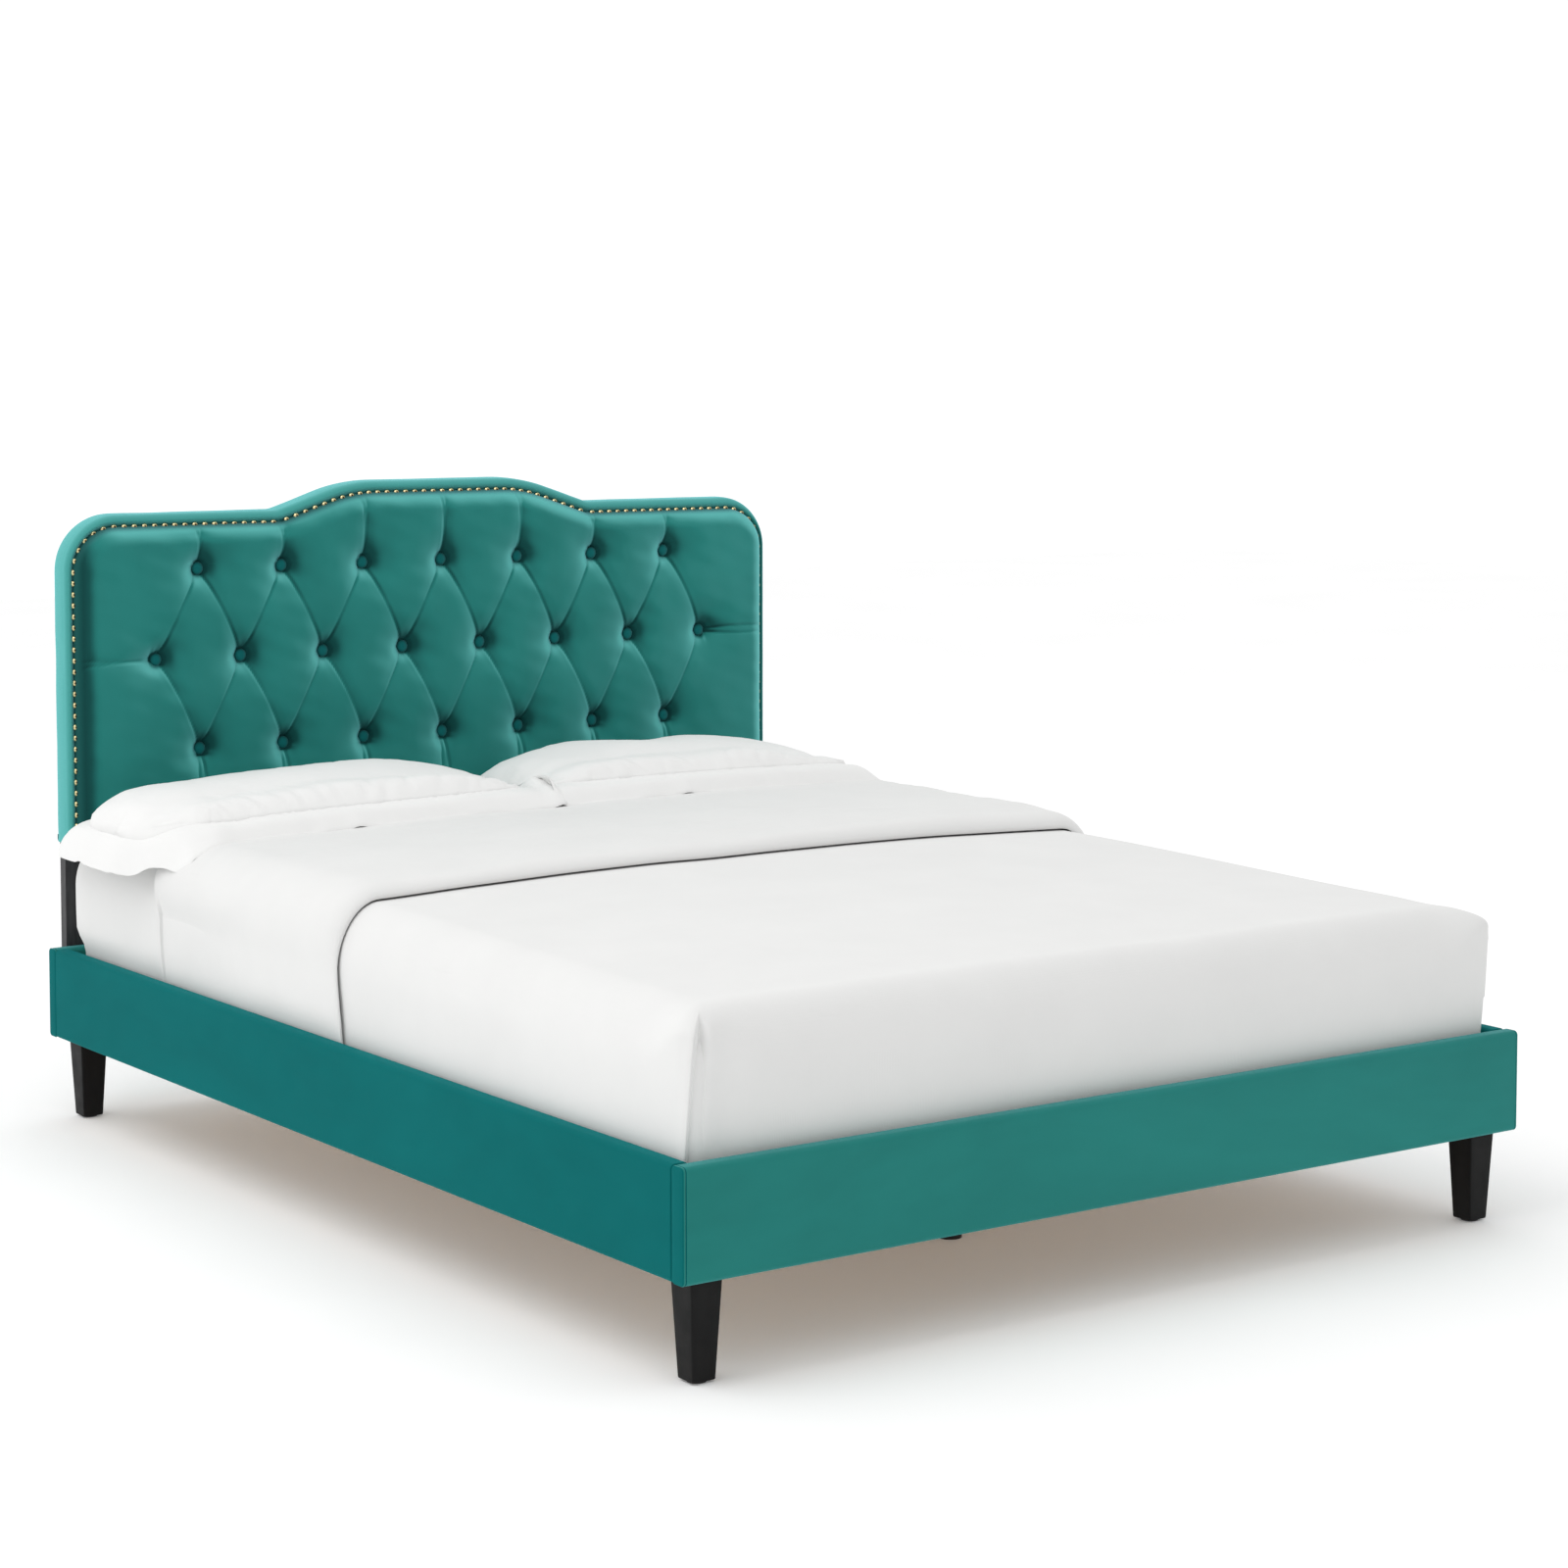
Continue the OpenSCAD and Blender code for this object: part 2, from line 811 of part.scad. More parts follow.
module headboard_foam() {
    color("khaki") difference() {
        union() {
            board(border_front + skin_t, panel_front) hb_face(hb_wrap, hb_inner_bottom);
            board(tuft_front + skin_t, border_front + 2 * skin_t)
                hb_face(tuft_inset + skin_t, hb_inner_bottom);
        }
        button_rods(well_r + well_wall, tuft_front, well_floor + well_wall);
        button_rods(twine_bore_r, well_floor, panel_front + over);
    }
}

module headboard_cover() {
    cavity_front = border_front + skin_t;
    color(velvet) difference() {
        union() {
            difference() {
                union() {
                    board(border_front, post_back) hb_face(0, hb_bottom);
                    board(tuft_front, border_front + over) hb_face(tuft_inset, hb_bottom);
                }
                board(cavity_front, post_back + over) hb_face(hb_wrap, hb_inner_bottom);
                board(tuft_front + skin_t, cavity_front + over) hb_face(tuft_inset + skin_t, hb_inner_bottom);
            }
            button_rods(well_r + well_wall, tuft_front, well_floor + well_wall);
        }
        button_rods(well_r, tuft_front - over, well_floor);
        button_rods(twine_bore_r, tuft_front, well_floor + well_wall + over);
        for (x = [-post_x, post_x])
            block([x - post_w / 2, post_front, hb_bottom - over],
                  [x + post_w / 2, post_back + over, hb_inner_bottom + over]);
    }
}

module headboard_back_cover() {
    color("black") board(post_back, back_y) hb_face(dust_inset, hb_bottom + dust_inset);
}

// A covered button with a domed face
module headboard_buttons() {
    dome = button_t / 2;
    ball = (button_d * button_d / 4 + dome * dome) / (2 * dome);
    color(velvet)
        for (p = button_spots)
            translate([p[0], well_floor, p[1]]) rotate([90, 0, 0]) {
                cylinder(d = button_d, h = dome);
                translate([0, 0, dome]) rotate_extrude() intersection() {
                    translate([0, dome - ball]) circle(r = ball);
                    square([button_d / 2, dome]);
                }
            }
}

module button_twines() {
    color("ivory") button_rods(twine_r, well_floor, post_front + anchor_t);
}

module button_anchors() {
    color("gray") difference() {
        button_rods(anchor_r, post_front, post_front + anchor_t);
        button_rods(twine_r, post_front - over, post_front + anchor_t + over);
    }
}

// A domed nail whose head lies on the border
module nail(p) {
    translate([p[0], border_front, p[1]]) rotate([90, 0, 0]) {
        rotate_extrude() intersection() {
            translate([0, nail_h - nail_ball_r]) circle(r = nail_ball_r);
            square([nail_d / 2, nail_h]);
        }
        translate([0, 0, -nail_shank_l]) cylinder(r = nail_shank_r, h = nail_shank_l);
    }
}

nail_corner_z = hb_shoulder - nail_drop - nail_corner;
nail_side_n = round((nail_corner_z - nail_first_z) / nail_step);
nail_arc_n = round(PI / 2 * nail_corner / nail_step);
nail_flat = nail_half - nail_corner;
nail_top_n = round(2 * nail_flat / nail_step);
nail_spots = concat(
    [for (s = [-1, 1])
        for (i = [0 : nail_side_n - 1])
            [s * nail_half, nail_first_z + i * (nail_corner_z - nail_first_z) / nail_side_n]],
    [for (s = [-1, 1])
        for (i = [0 : nail_arc_n - 1])
            [s * (nail_flat + nail_corner * cos(90 * i / nail_arc_n)),
             nail_corner_z + nail_corner * sin(90 * i / nail_arc_n)]],
    [for (i = [0 : nail_top_n]) top_point(nail_flat * (2 * i / nail_top_n - 1), nail_drop)]
);

module nailheads() {
    color("darkgoldenrod")
        for (p = nail_spots)
            nail(p);
}

module post(x) {
    difference() {
        block([x - post_w / 2, post_front, post_bottom], [x + post_w / 2, post_back, post_top]);
        hb_bolt_rods(bolt_r + bolt_slack, post_front - over, post_back + over);
        hb_bolt_rods(post_head_r, post_back - post_head_t, post_back + over);
        post_bolt_rods(bolt_r + bolt_slack, post_front - over, post_back + over);
        post_bolt_rods(post_head_r, post_back - post_head_t, post_back + over);
    }
}

module post_left() {
    color(black_wood) post(-post_x);
}

module post_right() {
    color(black_wood) post(post_x);
}

module headboard_bolts() {
    color(zinc) {
        hb_bolt_rods(bolt_r, panel_front + tee_flange_t, post_back - post_head_t);
        hb_bolt_rods(post_head_r, post_back - post_head_t, post_back);
    }
}

module headboard_tee_nuts() {
    color(zinc) difference() {
        union() {
            hb_bolt_rods(tee_flange_r, panel_front, panel_front + tee_flange_t);
            hb_bolt_rods(tee_r, panel_front + tee_flange_t, panel_front + tee_l);
        }
        hb_bolt_rods(bolt_r, panel_front - over, panel_front + tee_l + over);
    }
}

module post_bolts() {
    tip = head_y - core_in - washer_t - nut_t - bolt_tip;
    color(zinc) {
        post_bolt_rods(bolt_r, tip, post_back - post_head_t);
        post_bolt_rods(post_head_r, post_back - post_head_t, post_back);
    }
}

module post_nuts() {
    face = head_y - core_in;
    color(zinc) difference() {
        union() {
            post_bolt_rods(washer_r, face - washer_t, face);
            for (x = [-rail_bolt_x, rail_bolt_x])
                for (z = rail_bolt_z)
                    hex_y(nut_r, face - washer_t - nut_t, face - washer_t, x, z);
        }
        post_bolt_rods(bolt_r, face - washer_t - nut_t - over, face + over);
    }
}

// ---------- mattress and bedding ----------

// A slab with rounded upright corners, grown by g on its four sides
module slab(g, y0, y1, z0, z1) {
    translate([0, 0, z0]) linear_extrude(z1 - z0)
        round_rect(-mattress_w / 2 - g, y0, mattress_w / 2 + g, y1, mattress_r);
}

module mattress() {
    color("whitesmoke") slab(0, mattress_y0, mattress_y1, mattress_z0, mattress_top);
}

module fitted_sheet() {
    color(linen) difference() {
        slab(sheet_t, mattress_y0 - sheet_t, mattress_y1 + sheet_t, sheet_z0, mattress_top + sheet_t);
        slab(0, mattress_y0, mattress_y1, sheet_z0 - over, mattress_top);
    }
}

// The duvet is tucked in all round, and its head end is folded back as a second layer
module duvet() {
    lap = sheet_t + duvet_t;
    color(linen) difference() {
        union() {
            slab(lap, mattress_y0 - lap, duvet_head, duvet_z0, duvet_top);
            slab(lap + band_t, fold_y, duvet_head, band_z0, band_top);
        }
        slab(sheet_t, mattress_y0 - sheet_t, mattress_y1 + sheet_t, duvet_z0 - over, mattress_top + sheet_t);
    }
}

// Loft of the pillow at u, v from -1 to 1: full in the middle, thin at the stitched flange
function pillow_loft(u, v) =
    let (plan = (1 - pow(abs(u), pillow_square)) * (1 - pow(abs(v), pillow_square)))
    pillow_edge + (pillow_h - pillow_edge) * pow(plan, pillow_full);
function pillow_grid(i, j, top) =
    let (u = 2 * i / pillow_nx - 1, v = 2 * j / pillow_ny - 1)
    [u * pillow_w / 2, v * pillow_l / 2, top ? pillow_loft(u, v) : 0];
function grid_id(i, j) = i * (pillow_ny + 1) + j;

// The face that joins edge a-b of the upper side to the lower side, n points further on
function rim_quad(n, a, b) = [a, b, n + b, n + a];

module pillow_solid() {
    n = (pillow_nx + 1) * (pillow_ny + 1);
    points = [
        for (top = [true, false])
            for (i = [0 : pillow_nx])
                for (j = [0 : pillow_ny])
                    pillow_grid(i, j, top)
    ];
    upper = [
        for (i = [0 : pillow_nx - 1])
            for (j = [0 : pillow_ny - 1])
                for (f = [
                    [grid_id(i, j), grid_id(i, j + 1), grid_id(i + 1, j)],
                    [grid_id(i + 1, j), grid_id(i, j + 1), grid_id(i + 1, j + 1)]
                ]) f
    ];
    lower = [for (f = upper) [n + f[2], n + f[1], n + f[0]]];
    rim = concat(
        [for (i = [0 : pillow_nx - 1]) rim_quad(n, grid_id(i, 0), grid_id(i + 1, 0))],
        [for (i = [0 : pillow_nx - 1]) rim_quad(n, grid_id(i + 1, pillow_ny), grid_id(i, pillow_ny))],
        [for (j = [0 : pillow_ny - 1]) rim_quad(n, grid_id(0, j + 1), grid_id(0, j))],
        [for (j = [0 : pillow_ny - 1]) rim_quad(n, grid_id(pillow_nx, j), grid_id(pillow_nx, j + 1))]
    );
    polyhedron(points, concat(upper, lower, rim));
}

module pillow_left() {
    color(linen) translate([-pillow_mid_x, pillow_mid_y, pillow_z0]) pillow_solid();
}

module pillow_right() {
    color(linen) translate([pillow_mid_x, pillow_mid_y, pillow_z0]) pillow_solid();
}

foot_rail_core();
foot_rail_cover();
head_rail_core();
head_rail_cover();
side_rail_left_core();
side_rail_left_cover();
side_rail_right_core();
side_rail_right_cover();
side_ledgers();
ledger_screws();
corner_brackets();
corner_blocks();
corner_bolts();
corner_washers();
rail_inserts();
corner_legs();
leg_hanger_bolts();
leg_nuts();
leg_glides();
centre_beam();
beam_hangers();
hanger_screws();
support_legs();
support_leg_studs();
glide_inserts();
levelling_glide_foot();
levelling_glide_middle();
levelling_glide_head();
slats();
slat_screws();
slat_webbing();
headboard_panel();
headboard_top_rail();
headboard_bottom_rail();
headboard_battens();
headboard_foam();
headboard_cover();
headboard_back_cover();
headboard_buttons();
button_twines();
button_anchors();
nailheads();
post_left();
post_right();
headboard_bolts();
headboard_tee_nuts();
post_bolts();
post_nuts();
mattress();
fitted_sheet();
duvet();
pillow_left();
pillow_right();
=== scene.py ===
"""Looks of the upholstered headboard bed: velvet, nailheads, rails, legs and bedding around the CAD frame."""
from math import cos, pi, radians, sin, tan

import bpy
import numpy as np
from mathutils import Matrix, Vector


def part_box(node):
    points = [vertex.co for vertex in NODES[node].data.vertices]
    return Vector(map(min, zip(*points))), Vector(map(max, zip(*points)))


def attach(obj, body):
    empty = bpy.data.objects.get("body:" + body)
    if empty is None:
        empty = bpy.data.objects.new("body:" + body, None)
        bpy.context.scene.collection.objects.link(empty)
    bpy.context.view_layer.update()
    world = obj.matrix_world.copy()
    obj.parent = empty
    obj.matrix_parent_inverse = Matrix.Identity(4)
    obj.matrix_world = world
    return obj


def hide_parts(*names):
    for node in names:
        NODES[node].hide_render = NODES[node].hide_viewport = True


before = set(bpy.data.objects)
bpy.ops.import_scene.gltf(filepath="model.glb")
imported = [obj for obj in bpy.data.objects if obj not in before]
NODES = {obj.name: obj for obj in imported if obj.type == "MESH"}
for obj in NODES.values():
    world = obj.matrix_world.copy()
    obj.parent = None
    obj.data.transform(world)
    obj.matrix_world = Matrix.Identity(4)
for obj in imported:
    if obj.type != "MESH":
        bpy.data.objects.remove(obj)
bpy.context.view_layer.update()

SCENE = bpy.context.scene
MM = 0.001


# ---------------------------------------------------------------- camera

CAMERA_AT = (-3.3473, -4.8687, 1.4119)
CAMERA_DOWN = 3.996                     # degrees below the horizon
CAMERA_TURN = 35.409                    # degrees to the right of +Y
CAMERA_LENS = 78.23
CAMERA_SHIFT = -0.12


def make_camera():
    data = bpy.data.cameras.new("camera")
    data.lens = CAMERA_LENS
    data.sensor_width = 36
    data.shift_y = CAMERA_SHIFT
    camera = bpy.data.objects.new("camera", data)
    camera.location = CAMERA_AT
    camera.rotation_euler = (radians(90 - CAMERA_DOWN), 0, -radians(CAMERA_TURN))
    SCENE.collection.objects.link(camera)
    SCENE.camera = camera


# ---------------------------------------------------------------- mesh helpers

def smoothstep(t):
    t = np.clip(t, 0, 1)
    return t * t * (3 - 2 * t)


def round_rise(t):
    """Quarter of a circle: rises steeply from 0 at t=0 and levels out at 1 at t=1."""
    return np.sqrt(np.clip(1 - (1 - np.clip(t, 0, 1)) ** 2, 0, 1))


def bell(t):
    return np.exp(-t * t)


def ripple(points, size, seed, waves=9):
    """Smooth noise of about -1 to 1: a sum of sine waves in random directions, with wavelengths near size."""
    rng = np.random.default_rng(seed)
    points = np.asarray(points, float)
    total = np.zeros(points.shape[:-1])
    for _ in range(waves):
        direction = rng.normal(size=points.shape[-1])
        direction /= np.linalg.norm(direction)
        length = size * rng.uniform(0.7, 1.6)
        total += np.sin(points @ direction * 2 * pi / length + rng.uniform(0, 2 * pi))
    return total / waves ** 0.5


def grid_quads(rows, cols, wrap=False, flip=False, start=0):
    i = np.arange(rows - 1)[:, None]
    j = np.arange(cols if wrap else cols - 1)[None, :]
    a = i * cols + j
    b = i * cols + (j + 1) % cols
    quads = np.stack([a, b, b + cols, a + cols], -1).reshape(-1, 4) + start
    return quads[:, ::-1] if flip else quads


class Shell:
    """Collects vertices and faces of one piece."""

    def __init__(self):
        self.points, self.faces, self.count = [], [], 0

    def add(self, points, faces):
        points = np.asarray(points, float).reshape(-1, 3)
        self.points.append(points)
        self.faces.extend((np.asarray(f) + self.count).tolist() for f in faces)
        self.count += len(points)

    def grid(self, points, wrap=False, flip=False):
        rows, cols = points.shape[:2]
        self.add(points, grid_quads(rows, cols, wrap, flip))

    def tube(self, rings, flip=False):
        """Rings joined into a tube, with a separate cap at each end."""
        self.grid(rings, wrap=True, flip=flip)
        ring = np.arange(rings.shape[1])
        self.add(rings[0], [ring if flip else ring[::-1]])
        self.add(rings[-1], [ring[::-1] if flip else ring])

    def turned(self, rings, flip=False):
        """A tube whose caps share its vertices, for a piece that stores a value at each vertex."""
        sides, start = rings.shape[1], self.count
        last = start + (rings.shape[0] - 1) * sides
        self.grid(rings, wrap=True, flip=flip)
        caps = list(range(start, start + sides)), list(range(last, last + sides))[::-1]
        self.faces += [cap if flip else cap[::-1] for cap in caps]

    def piece(self, name, material, body, slot, weld=0.0):
        mesh = bpy.data.meshes.new(name)
        mesh.from_pydata(np.concatenate(self.points).tolist(), [], self.faces)
        mesh.materials.append(material)
        made = bpy.data.objects.new(name, mesh)
        SCENE.collection.objects.link(made)
        if weld:
            merge = made.modifiers.new("weld", "WELD")
            merge.merge_threshold = weld
            apply_modifiers(made)
        made.data.polygons.foreach_set("use_smooth", [True] * len(made.data.polygons))
        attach(made, body)
        return made


def vertex_places(piece):
    """Vertex positions of a piece, one row each."""
    places = np.empty(len(piece.data.vertices) * 3)
    piece.data.vertices.foreach_get("co", places)
    return places.reshape(-1, 3)


def vertex_normals(piece):
    normals = np.empty(len(piece.data.vertices) * 3)
    piece.data.vertex_normals.foreach_get("vector", normals)
    return normals.reshape(-1, 3)


def add_shade(piece, name, values):
    """Stores one number per vertex for the material to read."""
    layer = piece.data.attributes.new(name, "FLOAT", "POINT")
    layer.data.foreach_set("value", values)


def thicken(piece, thickness):
    """Gives a sheet of cloth its thickness, inwards from the modelled surface."""
    solid = piece.modifiers.new("thickness", "SOLIDIFY")
    solid.thickness = thickness
    solid.offset = -1
    apply_modifiers(piece)


def apply_modifiers(piece):
    graph = bpy.context.evaluated_depsgraph_get()
    mesh = bpy.data.meshes.new_from_object(piece.evaluated_get(graph))
    piece.modifiers.clear()
    piece.data = mesh


def soften(piece, width, angle=35, segments=2):
    """Breaks the sharp edges of a piece or a CAD node."""
    bevel = piece.modifiers.new("edges", "BEVEL")
    bevel.width = width
    bevel.segments = segments
    bevel.limit_method = "ANGLE"
    bevel.angle_limit = radians(angle)
    bevel.harden_normals = False


def sharp_by_angle(piece, angle=40):
    piece.data.set_sharp_from_angle(angle=radians(angle))


def between(start, end, parts):
    """The points that divide the way from start to end into equal parts, without its ends."""
    start, end = np.array(start, float), np.array(end, float)
    return [tuple(start + (end - start) * i / parts) for i in range(1, parts)]


def quarter(u, v, radius, start, count):
    """Points of a quarter turn about (u, v) from the angle start, in degrees."""
    turn = [radians(a) for a in np.linspace(start, start + 90, count)]
    return [(u + radius * cos(a), v + radius * sin(a)) for a in turn]


def rounded_ring(corners, radius, arc_points, parts):
    """Rectangle with rounded corners, anticlockwise from the upper right: corners are the centres of the
    arcs, and parts says into how many parts the side after each corner is divided."""
    arcs = [quarter(u, v, radius, 90 * n, arc_points) for n, (u, v) in enumerate(corners)]
    ring = []
    for n in range(4):
        ring += arcs[n] + between(arcs[n][-1], arcs[(n + 1) % 4][0], parts[n])
    return ring


def lathe(profile, segments):
    """Rings of a turned shape: profile holds (radius, height) pairs, height along +Z."""
    turn = np.linspace(0, 2 * pi, segments, endpoint=False)
    rings = [[(r * cos(a), r * sin(a), h) for a in turn] for r, h in profile]
    return np.array(rings)


# ---------------------------------------------------------------- materials

def srgb(r, g, b):
    def linear(v):
        v /= 255
        return v / 12.92 if v <= 0.04045 else ((v + 0.055) / 1.055) ** 2.4
    return (linear(r), linear(g), linear(b), 1)


def scaled(colour, k):
    return tuple(min(1, c * k) for c in colour[:3]) + (1,)


class Finish:
    """A Principled material with helpers for its procedural nodes."""

    def __init__(self, name, **sockets):
        self.material = bpy.data.materials.new(name)
        self.material.use_nodes = True
        self.tree = self.material.node_tree
        self.shader = self.tree.nodes["Principled BSDF"]
        for key, value in sockets.items():
            self.shader.inputs[key.replace("_", " ")].default_value = value
        self.place = self.node("ShaderNodeTexCoord").outputs["Object"]

    def node(self, kind, **values):
        made = self.tree.nodes.new(kind)
        for key, value in values.items():
            if hasattr(made, key):
                setattr(made, key, value)
            else:
                made.inputs[key.replace("_", " ")].default_value = value
        return made

    def link(self, a, b):
        self.tree.links.new(a, b)

    def stretched(self, scale):
        mapping = self.node("ShaderNodeMapping")
        mapping.inputs["Scale"].default_value = scale
        self.link(self.place, mapping.inputs["Vector"])
        return mapping.outputs["Vector"]

    def noise(self, scale, detail=3.0, rough=0.55, vector=None, distortion=0.0):
        made = self.node("ShaderNodeTexNoise", Scale=scale, Detail=detail, Roughness=rough,
                         Distortion=distortion)
        self.link(vector or self.place, made.inputs["Vector"])
        return made.outputs["Fac"]

    def spread(self, value, low, high, to_low=0.0, to_high=1.0):
        made = self.node("ShaderNodeMapRange")
        for key, number in (("From Min", low), ("From Max", high), ("To Min", to_low), ("To Max", to_high)):
            made.inputs[key].default_value = number
        self.link(value, made.inputs["Value"])
        return made.outputs["Result"]

    def blend(self, factor, a, b):
        made = self.node("ShaderNodeMix", data_type="RGBA")
        for socket, value in ((made.inputs[6], a), (made.inputs[7], b)):
            if isinstance(value, tuple):
                socket.default_value = value
            else:
                self.link(value, socket)
        self.link(factor, made.inputs[0])
        return made.outputs[2]

    def colour(self, value):
        self.link(value, self.shader.inputs["Base Color"])
        return self

    def roughness(self, value):
        self.link(value, self.shader.inputs["Roughness"])
        return self

    def bump(self, *layers):
        """Each layer is (height, strength, distance in metres)."""
        normal = None
        for height, strength, distance in layers:
            made = self.node("ShaderNodeBump", Strength=strength, Distance=distance)
            self.link(height, made.inputs["Height"])
            if normal:
                self.link(normal, made.inputs["Normal"])
            normal = made.outputs["Normal"]
        self.link(normal, self.shader.inputs["Normal"])
        return self


# painted light (a pale teal) and painted shade (near black) that the velvet's colour is blended towards
PAINTED_LIGHT_TEAL = (0.125, 0.520, 0.490, 1)
PAINTED_SHADE_TEAL = (0.0010, 0.042, 0.040, 1)


def velvet(name, base, sheen, tint, grain=(1, 1, 1), painted_sheen_share=0.75, gloss=0.12):
    """Short-pile velvet with a painted sheen: the base colour is blended to a lighter teal at a glancing angle. A
    per-vertex attribute holds painted light and shade, from -1, painted shade, to 1, painted light; a mesh without
    it counts as 0."""
    f = Finish(name, Roughness=0.78, Specular_IOR_Level=gloss, Sheen_Weight=sheen, Sheen_Roughness=0.30,
               Sheen_Tint=tint)
    clouds = f.spread(f.noise(2.6, 4, 0.6, f.stretched(grain), 0.6), 0.3, 0.72)
    brushed = f.spread(f.noise(14, 3, 0.6, f.stretched(grain)), 0.25, 0.8)
    colour = f.blend(clouds, scaled(base, 0.86), scaled(base, 1.12))
    colour = f.blend(f.spread(brushed, 0, 1, 0, 0.22), colour, scaled(base, 1.3))
    pile = f.noise(1500, 2, 0.7)
    colour = f.blend(f.spread(pile, 0.3, 0.7, 0, 0.16), colour, scaled(base, 0.55))
    # painted sheen: the base colour turns to a lighter teal at glancing angles
    painted_sheen = f.node("ShaderNodeLayerWeight", Blend=0.5).outputs["Facing"]
    colour = f.blend(f.spread(painted_sheen, 0.15, 0.85, 0, painted_sheen_share), colour, scaled(tint, 0.55))
    # painted light and painted shade from the per-vertex attribute
    painted_shading = f.node("ShaderNodeAttribute", attribute_name="painted_shading").outputs["Fac"]
    colour = f.blend(f.spread(painted_shading, 0, 1, 0, 1), colour, PAINTED_LIGHT_TEAL)
    colour = f.blend(f.spread(painted_shading, 0, -1, 0, 1), colour, PAINTED_SHADE_TEAL)
    f.colour(colour)
    f.bump((pile, 0.35, 0.0006), (f.noise(260, 3, 0.6), 0.12, 0.001))
    return f.material


def cotton(name, base, weave=0.00045, sheen=0.12, bump=0.25):
    """Fine plain-weave cotton with a soft mottle."""
    f = Finish(name, Roughness=0.86, Specular_IOR_Level=0.2, Sheen_Weight=sheen, Sheen_Roughness=0.5)
    mottle = f.spread(f.noise(7, 4, 0.6), 0.3, 0.7)
    f.colour(f.blend(mottle, scaled(base, 0.975), base))
    threads = [f.node("ShaderNodeTexWave", bands_direction=axis, Scale=1 / weave / 20, Distortion=0.4)
               for axis in ("X", "Y")]
    for wave in threads:
        f.link(f.place, wave.inputs["Vector"])
    cross = f.node("ShaderNodeMath", operation="MULTIPLY")
    f.link(threads[0].outputs["Fac"], cross.inputs[0])
    f.link(threads[1].outputs["Fac"], cross.inputs[1])
    f.bump((f.noise(34, 4, 0.6), 0.12, 0.002), (cross.outputs[0], bump, 0.0003))
    return f.material


def wood(name, pale, dark, along, rough=0.6, knots=True):
    """Sawn softwood with its grain along one axis."""
    stretch = [26.0, 26.0, 26.0]
    stretch["xyz".index(along)] = 1.6
    f = Finish(name, Roughness=rough, Specular_IOR_Level=0.35)
    vector = f.stretched(tuple(stretch))
    rings = f.node("ShaderNodeTexWave", wave_type="RINGS", Scale=0.55, Distortion=6.0, Detail=3.0)
    f.link(vector, rings.inputs["Vector"])
    colour = f.blend(f.spread(rings.outputs["Fac"], 0.1, 0.9), pale, dark)
    fibre = f.noise(9, 5, 0.7, vector)
    colour = f.blend(f.spread(fibre, 0.35, 0.7, 0, 0.45), colour, scaled(dark, 0.72))
    if knots:
        cells = f.node("ShaderNodeTexVoronoi", Scale=5.0)
        f.link(f.stretched((1, 1, 1)), cells.inputs["Vector"])
        colour = f.blend(f.spread(cells.outputs["Distance"], 0.02, 0.07, 0.6, 0), colour, scaled(dark, 0.4))
    f.colour(colour)
    f.bump((fibre, 0.25, 0.0008))
    return f.material


def plywood():
    """Rotary-cut face with open grain along x."""
    f = Finish("plywood", Roughness=0.7, Specular_IOR_Level=0.3)
    grain = f.noise(5, 6, 0.65, f.stretched((1.2, 14, 14)), 1.2)
    colour = f.blend(f.spread(grain, 0.3, 0.7), srgb(206, 172, 122), srgb(170, 130, 84))
    f.colour(colour)
    f.bump((grain, 0.2, 0.0006))
    return f.material


def black_wood(name, rough=0.42, lift=1.0, gloss=0.32):
    """Satin black lacquer over wood, with a trace of grain; lift makes it paler."""
    f = Finish(name, Specular_IOR_Level=gloss, Coat_Weight=gloss / 8, Coat_Roughness=0.35)
    grain = f.noise(6, 5, 0.65, f.stretched((18, 18, 1.5)), 0.6)
    dark, pale = scaled(srgb(18, 18, 19), lift), scaled(srgb(36, 36, 37), lift)
    f.colour(f.blend(f.spread(grain, 0.3, 0.75), dark, pale))
    f.roughness(f.spread(f.noise(30, 4, 0.6), 0.2, 0.8, rough - 0.08, rough + 0.12))
    f.bump((grain, 0.22, 0.0005), (f.noise(420, 2, 0.5), 0.08, 0.0003))
    return f.material


def steel(name, pale, dark, rough=0.36, grain=(1, 1, 1)):
    """Plated metal: slightly clouded, with fine handling marks."""
    f = Finish(name, Metallic=1.0)
    cloud = f.spread(f.noise(55, 4, 0.6, f.stretched(grain)), 0.3, 0.7)
    f.colour(f.blend(cloud, dark, pale))
    f.roughness(f.spread(f.noise(130, 4, 0.7), 0.2, 0.8, rough - 0.1, rough + 0.16))
    f.bump((f.noise(700, 2, 0.6), 0.12, 0.0002))
    return f.material


def nail_brass_painted_reflection():
    """Nailhead brass: bright flank; a per-vertex attribute darkens the crown with a painted reflection and the rim
    with painted shade, with fine dark specks.
    """
    f = Finish("nail_brass", Metallic=1.0)
    # painted reflection on the crown and painted shade at the rim, from the per-vertex attribute
    shade = f.node("ShaderNodeAttribute", attribute_name="painted_reflection_shade").outputs["Fac"]
    speck = f.spread(f.noise(600, 3, 0.7), 0.35, 0.7, 0, 0.25)
    mixed = f.node("ShaderNodeMath", operation="ADD", use_clamp=True)
    f.link(shade, mixed.inputs[0])
    f.link(speck, mixed.inputs[1])
    f.colour(f.blend(mixed.outputs[0], srgb(252, 232, 178), srgb(58, 42, 24)))
    f.roughness(f.spread(f.noise(300, 3, 0.6), 0.2, 0.8, 0.2, 0.36))
    f.bump((f.noise(900, 2, 0.6), 0.1, 0.0002))
    return f.material


